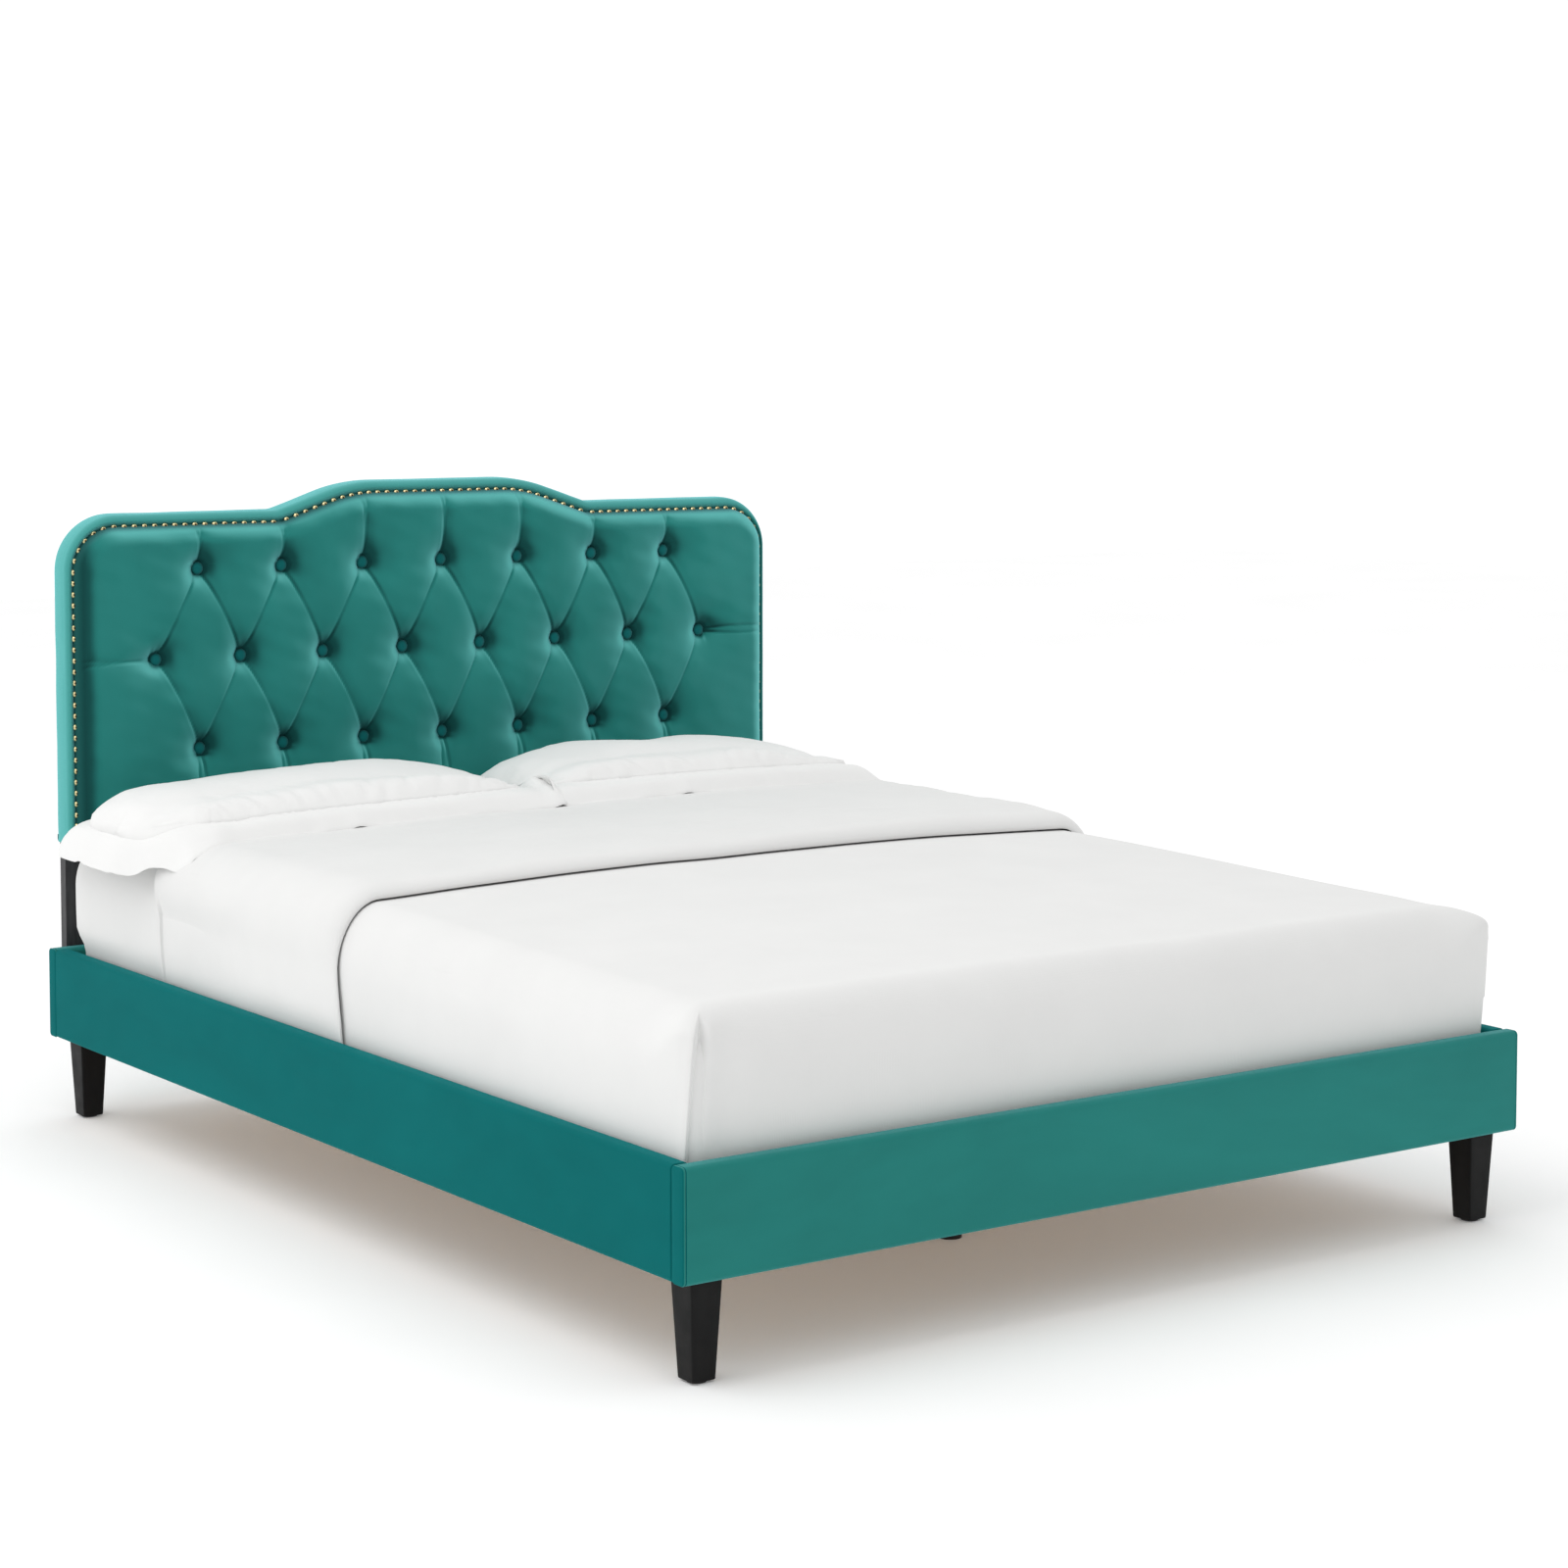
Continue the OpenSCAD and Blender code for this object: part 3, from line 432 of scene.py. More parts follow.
def plastic(name, colour, rough=0.45):
    f = Finish(name, Specular_IOR_Level=0.4)
    cloud = f.spread(f.noise(40, 3, 0.6), 0.3, 0.7)
    f.colour(f.blend(cloud, colour, scaled(colour, 1.35)))
    f.roughness(f.spread(f.noise(220, 3, 0.6), 0.2, 0.8, rough - 0.08, rough + 0.1))
    f.bump((f.noise(1300, 2, 0.5), 0.18, 0.0002))
    return f.material


def woven(name, colour, pitch, rough=0.85, contrast=0.6):
    """Coarse woven tape or thread."""
    f = Finish(name, Roughness=rough, Specular_IOR_Level=0.2)
    cells = f.node("ShaderNodeTexVoronoi", Scale=1 / pitch, Randomness=0.15)
    f.link(f.place, cells.inputs["Vector"])
    gap = f.spread(cells.outputs["Distance"], 0.2, 0.75)
    f.colour(f.blend(gap, colour, scaled(colour, contrast)))
    f.bump((gap, 0.5, 0.0006))
    return f.material


def dust_fabric():
    """Black non-woven cloth with the embossed points of its bonding."""
    f = Finish("dust_fabric", Roughness=0.92, Specular_IOR_Level=0.12, Sheen_Weight=0.15, Sheen_Roughness=0.6)
    points = f.node("ShaderNodeTexVoronoi", Scale=420.0, Randomness=0.1)
    f.link(f.place, points.inputs["Vector"])
    fleece = f.noise(60, 5, 0.7)
    colour = f.blend(f.spread(fleece, 0.3, 0.7), srgb(22, 22, 23), srgb(44, 44, 46))
    f.colour(colour)
    f.bump((points.outputs["Distance"], 0.35, 0.0006), (fleece, 0.2, 0.001))
    return f.material


def foam():
    f = Finish("foam", Roughness=0.95, Specular_IOR_Level=0.1)
    cells = f.noise(380, 3, 0.7)
    f.colour(f.blend(f.spread(cells, 0.35, 0.65), srgb(232, 220, 172), srgb(196, 180, 126)))
    f.bump((cells, 0.6, 0.0009))
    return f.material


def ticking():
    """Knitted mattress ticking."""
    f = Finish("ticking", Roughness=0.9, Specular_IOR_Level=0.15)
    knit = f.noise(500, 2, 0.6, f.stretched((1, 2, 1)))
    f.colour(f.blend(f.spread(knit, 0.3, 0.7), srgb(236, 236, 232), srgb(214, 214, 210)))
    f.bump((knit, 0.4, 0.0006))
    return f.material


def floor_finish():
    f = Finish("floor_finish", Roughness=0.9, Specular_IOR_Level=0.1, Emission_Color=(1, 1, 1, 1),
               Emission_Strength=0.10)
    cloud = f.spread(f.noise(1.5, 2), 0.3, 0.7)
    f.colour(f.blend(cloud, srgb(250, 250, 250), srgb(253, 253, 253)))
    return f.material


TEAL = (0.019, 0.208, 0.186, 1)
# painted shade: a darker teal for velvet on faces turned to the sides and on the buttons, standing in for how the
# sheen of the pile falls there
TEAL_SHADED_SIDE = (0.002, 0.128, 0.128, 1)
SHEEN_TINT = (0.30, 0.85, 0.90, 1)
SHEEN_SIDE = (0.05, 0.75, 0.80, 1)

VELVET_HEAD = velvet("velvet_headboard", TEAL, 1.0, SHEEN_TINT, (1, 1, 0.6))
VELVET_END = velvet("velvet_end_rails", TEAL, 0.5, SHEEN_TINT, (0.5, 1, 1.4), 0.15, 0.08)
# darker copy of the velvet, painted shade, for the side rails and the end rails' end patches
VELVET_SHADED_SIDE = velvet("velvet_side_rails_shaded", TEAL_SHADED_SIDE, 0.25, SHEEN_SIDE, (1, 0.5, 1.4), 0.08, 0.04)
BUTTON_VELVET = velvet("velvet_buttons", TEAL_SHADED_SIDE, 0.5, SHEEN_TINT, (1, 1, 1), 0.3)
LINEN = cotton("bed_linen", srgb(232, 232, 231))
SHEET_LINEN = cotton("sheet_linen", srgb(232, 232, 231), 0.0004)
PILLOW_LINEN = cotton("pillow_linen", srgb(241, 241, 240), 0.0004)
TICKING = ticking()
BLACK_LEG = black_wood("black_leg_wood", 0.55, 0.20, 0.20)
BLACK_POST = black_wood("black_post_wood", 0.5, 3.5)
NAIL_BRASS = nail_brass_painted_reflection()
DUST_FABRIC = dust_fabric()
ZINC = steel("zinc_steel", srgb(206, 208, 212), srgb(150, 153, 158))
BRASS_INSERT = steel("insert_brass", srgb(214, 182, 110), srgb(150, 118, 62))
STAPLE_STEEL = steel("staple_steel", srgb(190, 192, 196), srgb(140, 142, 148), 0.3)
BLACK_PLASTIC = plastic("black_plastic", srgb(24, 24, 26))

CAD_FINISHES = (
    (wood("pine_x", srgb(226, 192, 142), srgb(196, 152, 98), "x"),
     ("foot_rail_core", "head_rail_core", "slats", "headboard_top_rail", "headboard_bottom_rail")),
    (wood("pine_y", srgb(224, 190, 140), srgb(192, 150, 98), "y"),
     ("side_rail_left_core", "side_rail_right_core", "side_ledgers", "centre_beam")),
    (wood("pine_z", srgb(222, 188, 138), srgb(190, 148, 96), "z", knots=False),
     ("corner_blocks", "headboard_battens", "support_legs")),
    (plywood(), ("headboard_panel",)),
    (BLACK_POST, ("post_left", "post_right")),
    (ZINC, ("corner_brackets", "corner_bolts", "corner_washers", "leg_hanger_bolts", "leg_nuts",
            "beam_hangers", "hanger_screws", "support_leg_studs", "slat_screws", "ledger_screws", "headboard_bolts",
            "headboard_tee_nuts", "post_bolts", "post_nuts")),
    (BRASS_INSERT, ("rail_inserts", "glide_inserts")),
    (BLACK_PLASTIC, ("leg_glides", "levelling_glide_foot", "levelling_glide_middle", "levelling_glide_head",
                     "button_anchors")),
    (woven("slat_webbing", srgb(58, 60, 64), 0.0022), ("slat_webbing",)),
    (woven("button_twine", srgb(206, 190, 150), 0.0012), ("button_twines",)),
    (foam(), ("headboard_foam",)),
)
SOFTENED = {"post_left": 0.0016, "post_right": 0.0016, "slats": 0.0015, "support_legs": 0.0018,
            "centre_beam": 0.0018, "side_ledgers": 0.0015, "corner_blocks": 0.0015, "corner_brackets": 0.0006,
            "beam_hangers": 0.0006, "levelling_glide_foot": 0.0008, "levelling_glide_middle": 0.0008,
            "levelling_glide_head": 0.0008, "leg_glides": 0.0006}


def finish_cad_nodes():
    for material, names in CAD_FINISHES:
        for name in names:
            mesh = NODES[name].data
            mesh.materials.clear()
            mesh.materials.append(material)
    for name, width in SOFTENED.items():
        soften(NODES[name], width, segments=2)


# ---------------------------------------------------------------- headboard shape

HB_LO, HB_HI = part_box("headboard_cover")
HALF = HB_HI.x
BOTTOM = HB_LO.z
RISE = 0.052
SHOULDER = HB_HI.z - RISE
CORNER_R = 0.105
BACK_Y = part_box("headboard_back_cover")[1].y
BORDER_Y = BACK_Y - 0.055               # flat plane of the border's front
CROWN_IN = 0.138
CROWN_ANGLE = radians(18.5)
CROWN_R = 0.350
CONCAVE_R = 0.060
BEND_X1 = CROWN_IN + CROWN_R * sin(CROWN_ANGLE)
BEND_Z1 = CROWN_R * (1 - cos(CROWN_ANGLE))
BEND_Z2 = RISE - CONCAVE_R * (1 - cos(CROWN_ANGLE))
BEND_X2 = BEND_X1 + (BEND_Z2 - BEND_Z1) / tan(CROWN_ANGLE)
CROWN_OUT = BEND_X2 + CONCAVE_R * sin(CROWN_ANGLE)
NAIL_SIDE = 0.0165
NAIL_DROP = 0.023
NAIL_CORNER_R = 0.082
NAIL_STEP = 0.02075
BUTTON_STEP = 0.1755
BUTTON_ROWS = ((BOTTOM + 0.505, 7), (BOTTOM + 0.336, 8), (BOTTOM + 0.163, 7))
PAINTED_LIGHT_DIRECTION = np.array([0.80, 0.0, 0.60])  # painted light: the velvet is painted lighter where the cloth faces this way and darker where it faces away
BUTTON_SEAT = 0.003                     # back of a button, in front of the border's plane


def edge_angle(x):
    x = np.abs(x)
    convex = np.arcsin(np.clip((x - CROWN_IN) / CROWN_R, 0, sin(CROWN_ANGLE)))
    concave = np.arcsin(np.clip((CROWN_OUT - x) / CONCAVE_R, 0, sin(CROWN_ANGLE)))
    return np.minimum(convex, concave)


def top_z(x):
    """Height of the headboard's top edge, without the corner rounding."""
    x = np.abs(x)
    a = edge_angle(x)
    fall = np.where(x < BEND_X1, CROWN_R * (1 - np.cos(a)),
                    np.where(x < BEND_X2, BEND_Z1 + (x - BEND_X1) * tan(CROWN_ANGLE),
                             RISE - CONCAVE_R * (1 - np.cos(a))))
    return SHOULDER + RISE - fall


def inward(x, z, side, drop, corner):
    """Distance inside a line that runs side within the edges, drop below the top, with rounded corners."""
    x = np.abs(x)
    half = HALF - side
    to_side = half - x
    to_top = (top_z(x) - z) * np.cos(edge_angle(x)) - drop
    cx, cz = half - corner, SHOULDER - drop - corner
    round_part = corner - np.hypot(x - cx, z - cz)
    in_corner = (x > cx) & (z > cz)
    return np.where(in_corner, round_part, np.minimum(to_side, to_top))


def button_places():
    return [((i - (n - 1) / 2) * BUTTON_STEP, z) for z, n in BUTTON_ROWS for i in range(n)]


def nail_places():
    """Nailheads up both sides, round the corners and along the top edge, the same number as in the CAD."""
    half = HALF - NAIL_SIDE
    flat = half - NAIL_CORNER_R
    corner_z = SHOULDER - NAIL_DROP - NAIL_CORNER_R
    first_z = BOTTOM + 0.012
    side_n = round((corner_z - first_z) / NAIL_STEP)
    arc_n = round(pi / 2 * NAIL_CORNER_R / NAIL_STEP)
    top_n = round(2 * flat / NAIL_STEP)
    spots = []
    for s in (-1, 1):
        spots += [(s * half, first_z + i * (corner_z - first_z) / side_n) for i in range(side_n)]
        spots += [(s * (flat + NAIL_CORNER_R * cos(pi / 2 * i / arc_n)),
                   corner_z + NAIL_CORNER_R * sin(pi / 2 * i / arc_n)) for i in range(arc_n)]
    for i in range(top_n + 1):
        x = flat * (2 * i / top_n - 1)
        a = float(edge_angle(x))
        spots.append((x - np.sign(x) * NAIL_DROP * sin(a), float(top_z(x)) - NAIL_DROP * cos(a)))
    return spots


def pleats():
    """Fold lines of the tufting: (x0, z0, x1, z1, depth at the start, in the middle, at the end)."""
    rows = [[((i - (n - 1) / 2) * BUTTON_STEP, z) for i in range(n)] for z, n in BUTTON_ROWS]
    lines = []
    for outer in (rows[0], rows[2]):
        for i, (x, z) in enumerate(outer):
            for mx, mz in (rows[1][i], rows[1][i + 1]):
                lines.append((x, z, mx, mz, 1.0, 0.42, 1.0))
    for x, z in rows[0]:
        end = float(top_z(x)) - NAIL_DROP - 0.004
        for k in (-1, 1):
            lines.append((x + k * 0.003, z + 0.008, x + k * 0.006, end, 0.9, 0.4, 0.35))
    for x, z in rows[2]:
        for k in (-1, 1):
            lines.append((x + k * 0.003, z - 0.008, x + k * 0.007, BOTTOM + 0.012, 0.9, 0.4, 0.35))
    for s, (x, z) in ((-1, rows[1][0]), (1, rows[1][-1])):
        for k in (-1, 1):
            lines.append((x + s * 0.008, z + k * 0.003, s * (HALF - NAIL_SIDE - 0.006), z + k * 0.006,
                          0.9, 0.4, 0.35))
    return lines


PUFF = 0.0310                           # how far the tufted panel stands in front of the border
PANEL_EDGE = 0.036                      # width of the rounded shoulder of the tufted panel
GROOVE = 0.0045                         # depth of the nail line
PLEAT_PAINTED_SHADE = 0.62                        # painted shade along a pleat's fold line
# Side wall of the cover: (depth behind the rolled edge, distance outwards), ending in the turn-in at the back.
WALL_PROFILE = ((0.0025, 0.0004), (0.006, 0.0008), (0.014, 0.0011), (0.022, 0.0012), (0.030, 0.0010),
                (0.036, 0.0004), (0.0385, -0.0008), (0.0402, -0.0024), (0.0408, -0.005), (0.0408, -0.013))


def tufting(x, z):
    """How far the buttons and pleats pull the panel in, in metres, and the painted shade along their fold lines and
    in a ring round each button (0 to 1).
    """
    depth, painted_line_shade = np.zeros_like(x), np.zeros_like(x)
    for bx, bz in button_places():
        r = np.hypot(x - bx, z - bz)
        # painted shade in a ring round the button
        painted_line_shade = np.maximum(painted_line_shade, 1.2 * bell(np.maximum(r - 0.0135, 0) / 0.0034))
        depth += 0.0270 * (0.50 * bell(r / 0.0185) + 0.50 * np.exp(-(r / 0.050) ** 1.5))
    for n, (x0, z0, x1, z1, start, middle, end) in enumerate(pleats()):
        length = np.hypot(x1 - x0, z1 - z0)
        ux, uz = (x1 - x0) / length, (z1 - z0) / length
        along = ((x - x0) * ux + (z - z0) * uz) / length
        bend = 0.003 * np.sin(pi * np.clip(along, 0, 1)) * (1 if n % 2 else -1)
        across = (x - x0) * uz - (z - z0) * ux + bend
        inside = smoothstep(along / 0.04) * smoothstep((1 - along) / 0.04)
        first = np.where(along < 0.5, start, end)
        strength = inside * (middle + (first - middle) * np.abs(2 * along - 1) ** 1.5)
        depth += strength * (0.0034 * np.exp(-np.abs(across) / 0.0020) + 0.0030 * bell(across / 0.015))
        depth += strength * 0.0010 * np.tanh(across / 0.0015) * np.exp(-np.abs(across) / 0.009)
        # painted shade along the pleat's fold line
        painted_line_shade = np.maximum(painted_line_shade, PLEAT_PAINTED_SHADE * strength * np.exp(-(across / 0.0020) ** 2))
    return depth, painted_line_shade


def front_height(x, z):
    """How far the upholstery stands in front of the border's plane."""
    to_edge = np.maximum(inward(x, z, 0, 0, CORNER_R), 0)
    to_nail = inward(x, z, NAIL_SIDE, NAIL_DROP, NAIL_CORNER_R)
    share = to_edge / np.maximum(to_edge + np.maximum(-to_nail, 0), 1e-9)
    roll = -0.012 + 0.0145 * round_rise(share / 0.5)
    roll -= (0.0025 + GROOVE) * smoothstep((share - 0.5) / 0.5)
    panel = (PUFF + GROOVE) * round_rise(to_nail / PANEL_EDGE) - GROOVE
    pull = tufting(x, z)[0] * smoothstep(to_nail / 0.02)
    height = np.where(to_nail < 0, roll, panel - pull)
    soft = ripple(np.stack([x, z], -1), 0.16, 5) * 0.0006 + ripple(np.stack([x, z], -1), 0.05, 6) * 0.00025
    height = height + soft * smoothstep(to_edge / 0.01)
    floor = smoothstep((z - BOTTOM) / 0.004)
    rounded = -0.012 + (height + 0.012) * round_rise((z - BOTTOM) / 0.024)
    return np.where(floor < 1, np.minimum(height, rounded), rounded)


def headboard_painted_shading(points, normals):
    """Painted light and shade on the velvet: lighter where the cloth turns to the upper right and along the border,
    darker where it turns away, in the pleat lines, round the buttons and in the nail groove.
    """
    x, z = points[:, 0], points[:, 2]
    facing_painted_light = normals @ PAINTED_LIGHT_DIRECTION
    to_nail = inward(x, z, NAIL_SIDE, NAIL_DROP, NAIL_CORNER_R)
    inside = smoothstep(to_nail / 0.010)
    # painted light where the cloth faces the painted light's direction, painted shade where it faces away
    painted_shading = inside * np.where(facing_painted_light > 0, 0.80 * smoothstep(facing_painted_light / 0.50), -0.90 * smoothstep(-facing_painted_light / 0.46))
    # painted light over the panel, growing towards the right
    painted_shading += inside * (0.02 + 0.05 * smoothstep((x + 0.2) / 0.8))
    # painted shade in the pleat lines and round the buttons
    painted_shading -= inside * tufting(x, z)[1] * (points[:, 1] < BORDER_Y)
    # painted highlight on the border, turning to painted shade at the upper right corner
    lit = 1 - 1.5 * smoothstep((x - 0.60) / 0.14) * smoothstep((SHOULDER - 0.03 - z) / 0.05)
    border = smoothstep(-to_nail / 0.006) * lit
    painted_shading += border * (0.44 + 0.22 * smoothstep((points[:, 1] - BORDER_Y) / 0.012))
    # painted shade in the nail groove
    painted_shading -= 0.75 * bell(to_nail / 0.0062) * (points[:, 1] < BORDER_Y + 0.008)
    return np.clip(painted_shading, -1, 1)


def headboard_columns():
    flat = HALF - CORNER_R
    steps = int(2 * flat / 0.0030)
    turn = np.linspace(0, pi / 2, 27)[1:]
    right = flat + CORNER_R * np.sin(turn)
    x = np.concatenate([-right[::-1], np.linspace(-flat, flat, steps + 1), right])
    turned = np.concatenate([turn[::-1], np.zeros(steps + 1), turn])
    return x, top_z(x) - CORNER_R * (1 - np.cos(turned))


def headboard_grid(x, tops, bottom):
    """Vertical columns of points from the top edge to the bottom, closer together at both ends."""
    near = np.concatenate([[0, .4, 1.1, 2.1, 3.3, 4.7, 6.3, 8.1], np.arange(10, 27, 2), [28.5],
                           np.arange(31, 59, 3)]) * MM
    low = np.array([30, 27, 24, 21, 18, 15, 12, 9.5, 7.2, 5.2, 3.6, 2.3, 1.3, .5, 0]) * MM
    middle = np.linspace(0, 1, 176)[1:-1]
    columns = []
    for top in tops:
        span = top - bottom - near[-1] - low[0]
        columns.append(np.concatenate([top - near, top - near[-1] - middle * span, bottom + low]))
    z = np.array(columns).T
    return np.broadcast_to(x, z.shape), z


def outline_loop(grid):
    """The border points of a grid, in order round it."""
    return np.concatenate([grid[0, :-1], grid[:-1, -1], grid[-1, :0:-1], grid[:0:-1, 0]])


def outward_normals(loop):
    """Unit normals in the xz plane of a closed loop that runs clockwise as seen from the front."""
    step = np.roll(loop, -1, 0) - loop
    length = np.maximum(np.hypot(step[:, 0], step[:, 2]), 1e-9)
    n = np.stack([-step[:, 2] / length, step[:, 0] / length], -1)
    n = n + np.roll(n, 1, 0)
    return n / np.maximum(np.linalg.norm(n, axis=1, keepdims=True), 1e-9)


def headboard_upholstery():
    """One padded cover: tufted panel, nail groove, rolled border, side wall and the turn-in at the back."""
    x, tops = headboard_columns()
    gx, gz = headboard_grid(x, tops, BOTTOM)
    front = np.stack([gx, BORDER_Y - front_height(gx, gz), gz], -1)
    shell = Shell()
    shell.grid(front, flip=True)
    loop = outline_loop(front)
    normal = outward_normals(loop)
    rings = [loop]
    for depth, out in WALL_PROFILE:
        ring = loop.copy()
        swell = ripple(np.stack([loop[:, 0], loop[:, 2]], -1), 0.11, 8) * 0.0003
        ring[:, 0] += normal[:, 0] * (out + swell)
        ring[:, 2] += normal[:, 1] * (out + swell)
        ring[:, 1] = BORDER_Y + 0.012 + depth
        rings.append(ring)
    wall = np.array(rings)
    shell.grid(wall, wrap=True)
    shell.add(wall[-1], [np.arange(len(loop))[::-1]])
    piece = shell.piece("headboard_upholstery", VELVET_HEAD, "frame", "velvet", weld=1e-6)
    # painted light and shade stored per vertex for the velvet
    add_shade(piece, "painted_shading", headboard_painted_shading(vertex_places(piece), vertex_normals(piece)).tolist())
    sharp_by_angle(piece, 70)
    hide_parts("headboard_cover", "headboard_foam")
    return piece


def covered_buttons():
    """Velvet-covered buttons whose cloth gathers a little round the rim."""
    shell, button_painted_shade = Shell(), []
    profile = np.array([(0.3, 0), (9.6, 0), (11.4, 0.5), (12.3, 1.8), (12.6, 3.4), (12.3, 5.0), (11.4, 6.4),
                        (9.8, 7.5), (7.6, 8.3), (5.0, 8.8), (2.4, 9.0), (0.3, 9.05)]) * MM
    sides = 54
    rng = np.random.default_rng(21)
    for bx, bz in button_places():
        rings = lathe(profile, sides)
        turn = np.linspace(0, 2 * pi, sides, endpoint=False)
        gather = 1 + 0.012 * np.sin(13 * turn + rng.uniform(0, 6))
        gather = gather + 0.008 * np.sin(8 * turn + rng.uniform(0, 6))
        rim = bell((np.array([h for _, h in profile]) - 0.0035) / 0.003)[:, None]
        factor = 1 + (gather[None, :] - 1) * rim
        px, pz = rings[..., 0] * factor, rings[..., 1] * factor
        tilt_x, tilt_z = rng.uniform(-0.05, 0.05, 2)
        py = -rings[..., 2] + px * tilt_x + pz * tilt_z
        points = np.stack([bx + px, BORDER_Y - BUTTON_SEAT + py, bz + pz], -1)
        shell.turned(points, flip=True)
        # painted shade: each button's sides and base darker, fading out towards the crown of its dome
        button_painted_shade += np.repeat(np.interp(profile[:, 1], (0.0055, 0.0088), (-1.0, -0.05)), sides).tolist()
    piece = shell.piece("covered_buttons", BUTTON_VELVET, "frame", "velvet")
    add_shade(piece, "painted_shading", button_painted_shade)
    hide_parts("headboard_buttons")
    return piece


def nailhead_trim():
    """Domed heads with a rolled rim; a painted reflection on the crown and painted shade at the rim are stored in a
    per-vertex attribute.
    """
    profile = np.array([(0.25, 3.75), (1.3, 3.66), (2.4, 3.38), (3.4, 2.86), (4.2, 2.16), (4.75, 1.4),
                        (5.1, 0.85), (5.45, 0.55), (5.6, 0.15), (5.45, -0.3), (4.9, -0.5), (0.25, -0.5)]) * MM
    # per profile point: painted dark reflection on the crown, bright flank, painted shade round and under the rim
    painted_reflection_shade = [1.0, 0.9, 0.5, 0.1, 0.0, 0.0, 0.05, 0.3, 0.8, 1.0, 1.0, 1.0]
    sides = 28
    shell, shades = Shell(), []
    rng = np.random.default_rng(33)
    for nx, nz in nail_places():
        rings = lathe(profile, sides)
        tilt_x, tilt_z = rng.uniform(-0.05, 0.05, 2)
        py = -rings[..., 2] + rings[..., 0] * tilt_x + rings[..., 1] * tilt_z
        points = np.stack([nx + rings[..., 0], BORDER_Y + 0.0004 + py, nz + rings[..., 1]], -1)
        shell.turned(points)
        shades += np.repeat(np.clip(np.array(painted_reflection_shade) + rng.uniform(-0.12, 0.12), 0, 1), sides).tolist()
    piece = shell.piece("nailhead_trim", NAIL_BRASS, "frame", "nail_brass")
    add_shade(piece, "painted_reflection_shade", shades)
    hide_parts("nailheads")
    return piece


def dust_cloth():
    """Black cloth stretched over the back and stapled, drawn in a little between the staples."""
    margin = 0.010
    flat = HALF - CORNER_R
    turn = np.linspace(0, pi / 2, 11)[1:]
    radius = CORNER_R - margin
    right = flat + radius * np.sin(turn)
    x = np.concatenate([-right[::-1], np.linspace(-flat, flat, 281), right])
    turned = np.concatenate([turn[::-1], np.zeros(281), turn])
    tops = top_z(x) - margin - radius * (1 - np.cos(turned))
    share = np.linspace(0, 1, 121)[:, None]
    z = tops[None, :] + (BOTTOM + margin - tops[None, :]) * share
    gx = np.broadcast_to(x, z.shape)
    edge = np.minimum(inward(gx, z, margin, margin, radius), z - BOTTOM - margin)
    pucker = ripple(np.stack([gx, z], -1), 0.045, 12) * 0.0003 * bell(edge / 0.05)
    slack = (ripple(np.stack([gx, z * 0.5], -1), 0.4, 13) * 0.0002 - 0.0004) * smoothstep(edge / 0.08)
    y = BACK_Y - 0.0002 + pucker + slack
    shell = Shell()
    shell.grid(np.stack([gx, y, z], -1))
    piece = shell.piece("headboard_dust_cloth", DUST_FABRIC, "frame", "dust_cloth")
    thicken(piece, 0.0006)
    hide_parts("headboard_back_cover")
    return piece


def staples():
    """Flat wire staples that hold the dust cloth, one every 45 mm round its edge."""
    inset = 0.017
    places = []
    for z in np.arange(BOTTOM + 0.04, SHOULDER - CORNER_R, 0.045):
        places += [(-(HALF - inset), z, pi / 2), (HALF - inset, z, pi / 2)]
    for x in np.arange(-(HALF - CORNER_R), HALF - CORNER_R + 0.001, 0.045):
        places.append((x, BOTTOM + inset, 0))
        slope = float(edge_angle(x))
        places.append((x, float(top_z(x)) - inset / cos(slope), -np.sign(x) * slope))
    shell = Shell()
    rng = np.random.default_rng(44)
    half, wire = 0.005, 0.00045
    round_wire = np.linspace(0, 2 * pi, 8, endpoint=False)
    for sx, sz, angle in places:
        a = angle + rng.uniform(-0.2, 0.2)
        path = [(-half, -0.002), (-half, 0.0004), (-half + 0.0006, 0.0009), (half - 0.0006, 0.0009),
                (half, 0.0004), (half, -0.002)]
        shell.tube(np.array([[(sx + u * cos(a) - wire * cos(t) * sin(a), BACK_Y + out + wire * sin(t) * 0.8,
                               sz + u * sin(a) + wire * cos(t) * cos(a)) for t in round_wire]
                             for u, out in path]))
    return shell.piece("dust_cloth_staples", STAPLE_STEEL, "frame", "zinc_steel", weld=1e-7)


# ---------------------------------------------------------------- rails

RAIL_ROUND = 0.0075
WRAP = 0.004
TURN_TOP = 0.035
TURN_BOTTOM = 0.020
ARC_POINTS = 8                          # points round each edge of a rail
PATCH = 0.0048                          # thickness of the patch over an end rail's end
PATCH_EDGE = 0.0026                     # rounding of its outer edge


def rail_profile(height, depth):
    """Closed profile of the wrapped fabric: (depth from the outer face, height above the bottom)."""
    r, right, top, inside = RAIL_ROUND, depth - RAIL_ROUND, height - RAIL_ROUND, depth - WRAP
    points = [(depth, height - TURN_TOP)]
    points += between((depth, height - TURN_TOP), (depth, top), 4) + quarter(right, top, r, 0, ARC_POINTS)
    points += between((right, height), (r, height), 3) + quarter(r, top, r, 90, ARC_POINTS)
    points += between((0, top), (0, r), 22) + quarter(r, r, r, 180, ARC_POINTS)
    points += between((r, 0), (right, 0), 3) + quarter(right, r, r, 270, ARC_POINTS)
    points += [(depth, TURN_BOTTOM), (inside, TURN_BOTTOM), (inside, WRAP), (WRAP, WRAP),
               (WRAP, height - WRAP), (inside, height - WRAP), (inside, height - TURN_TOP)]
    return np.array(points)


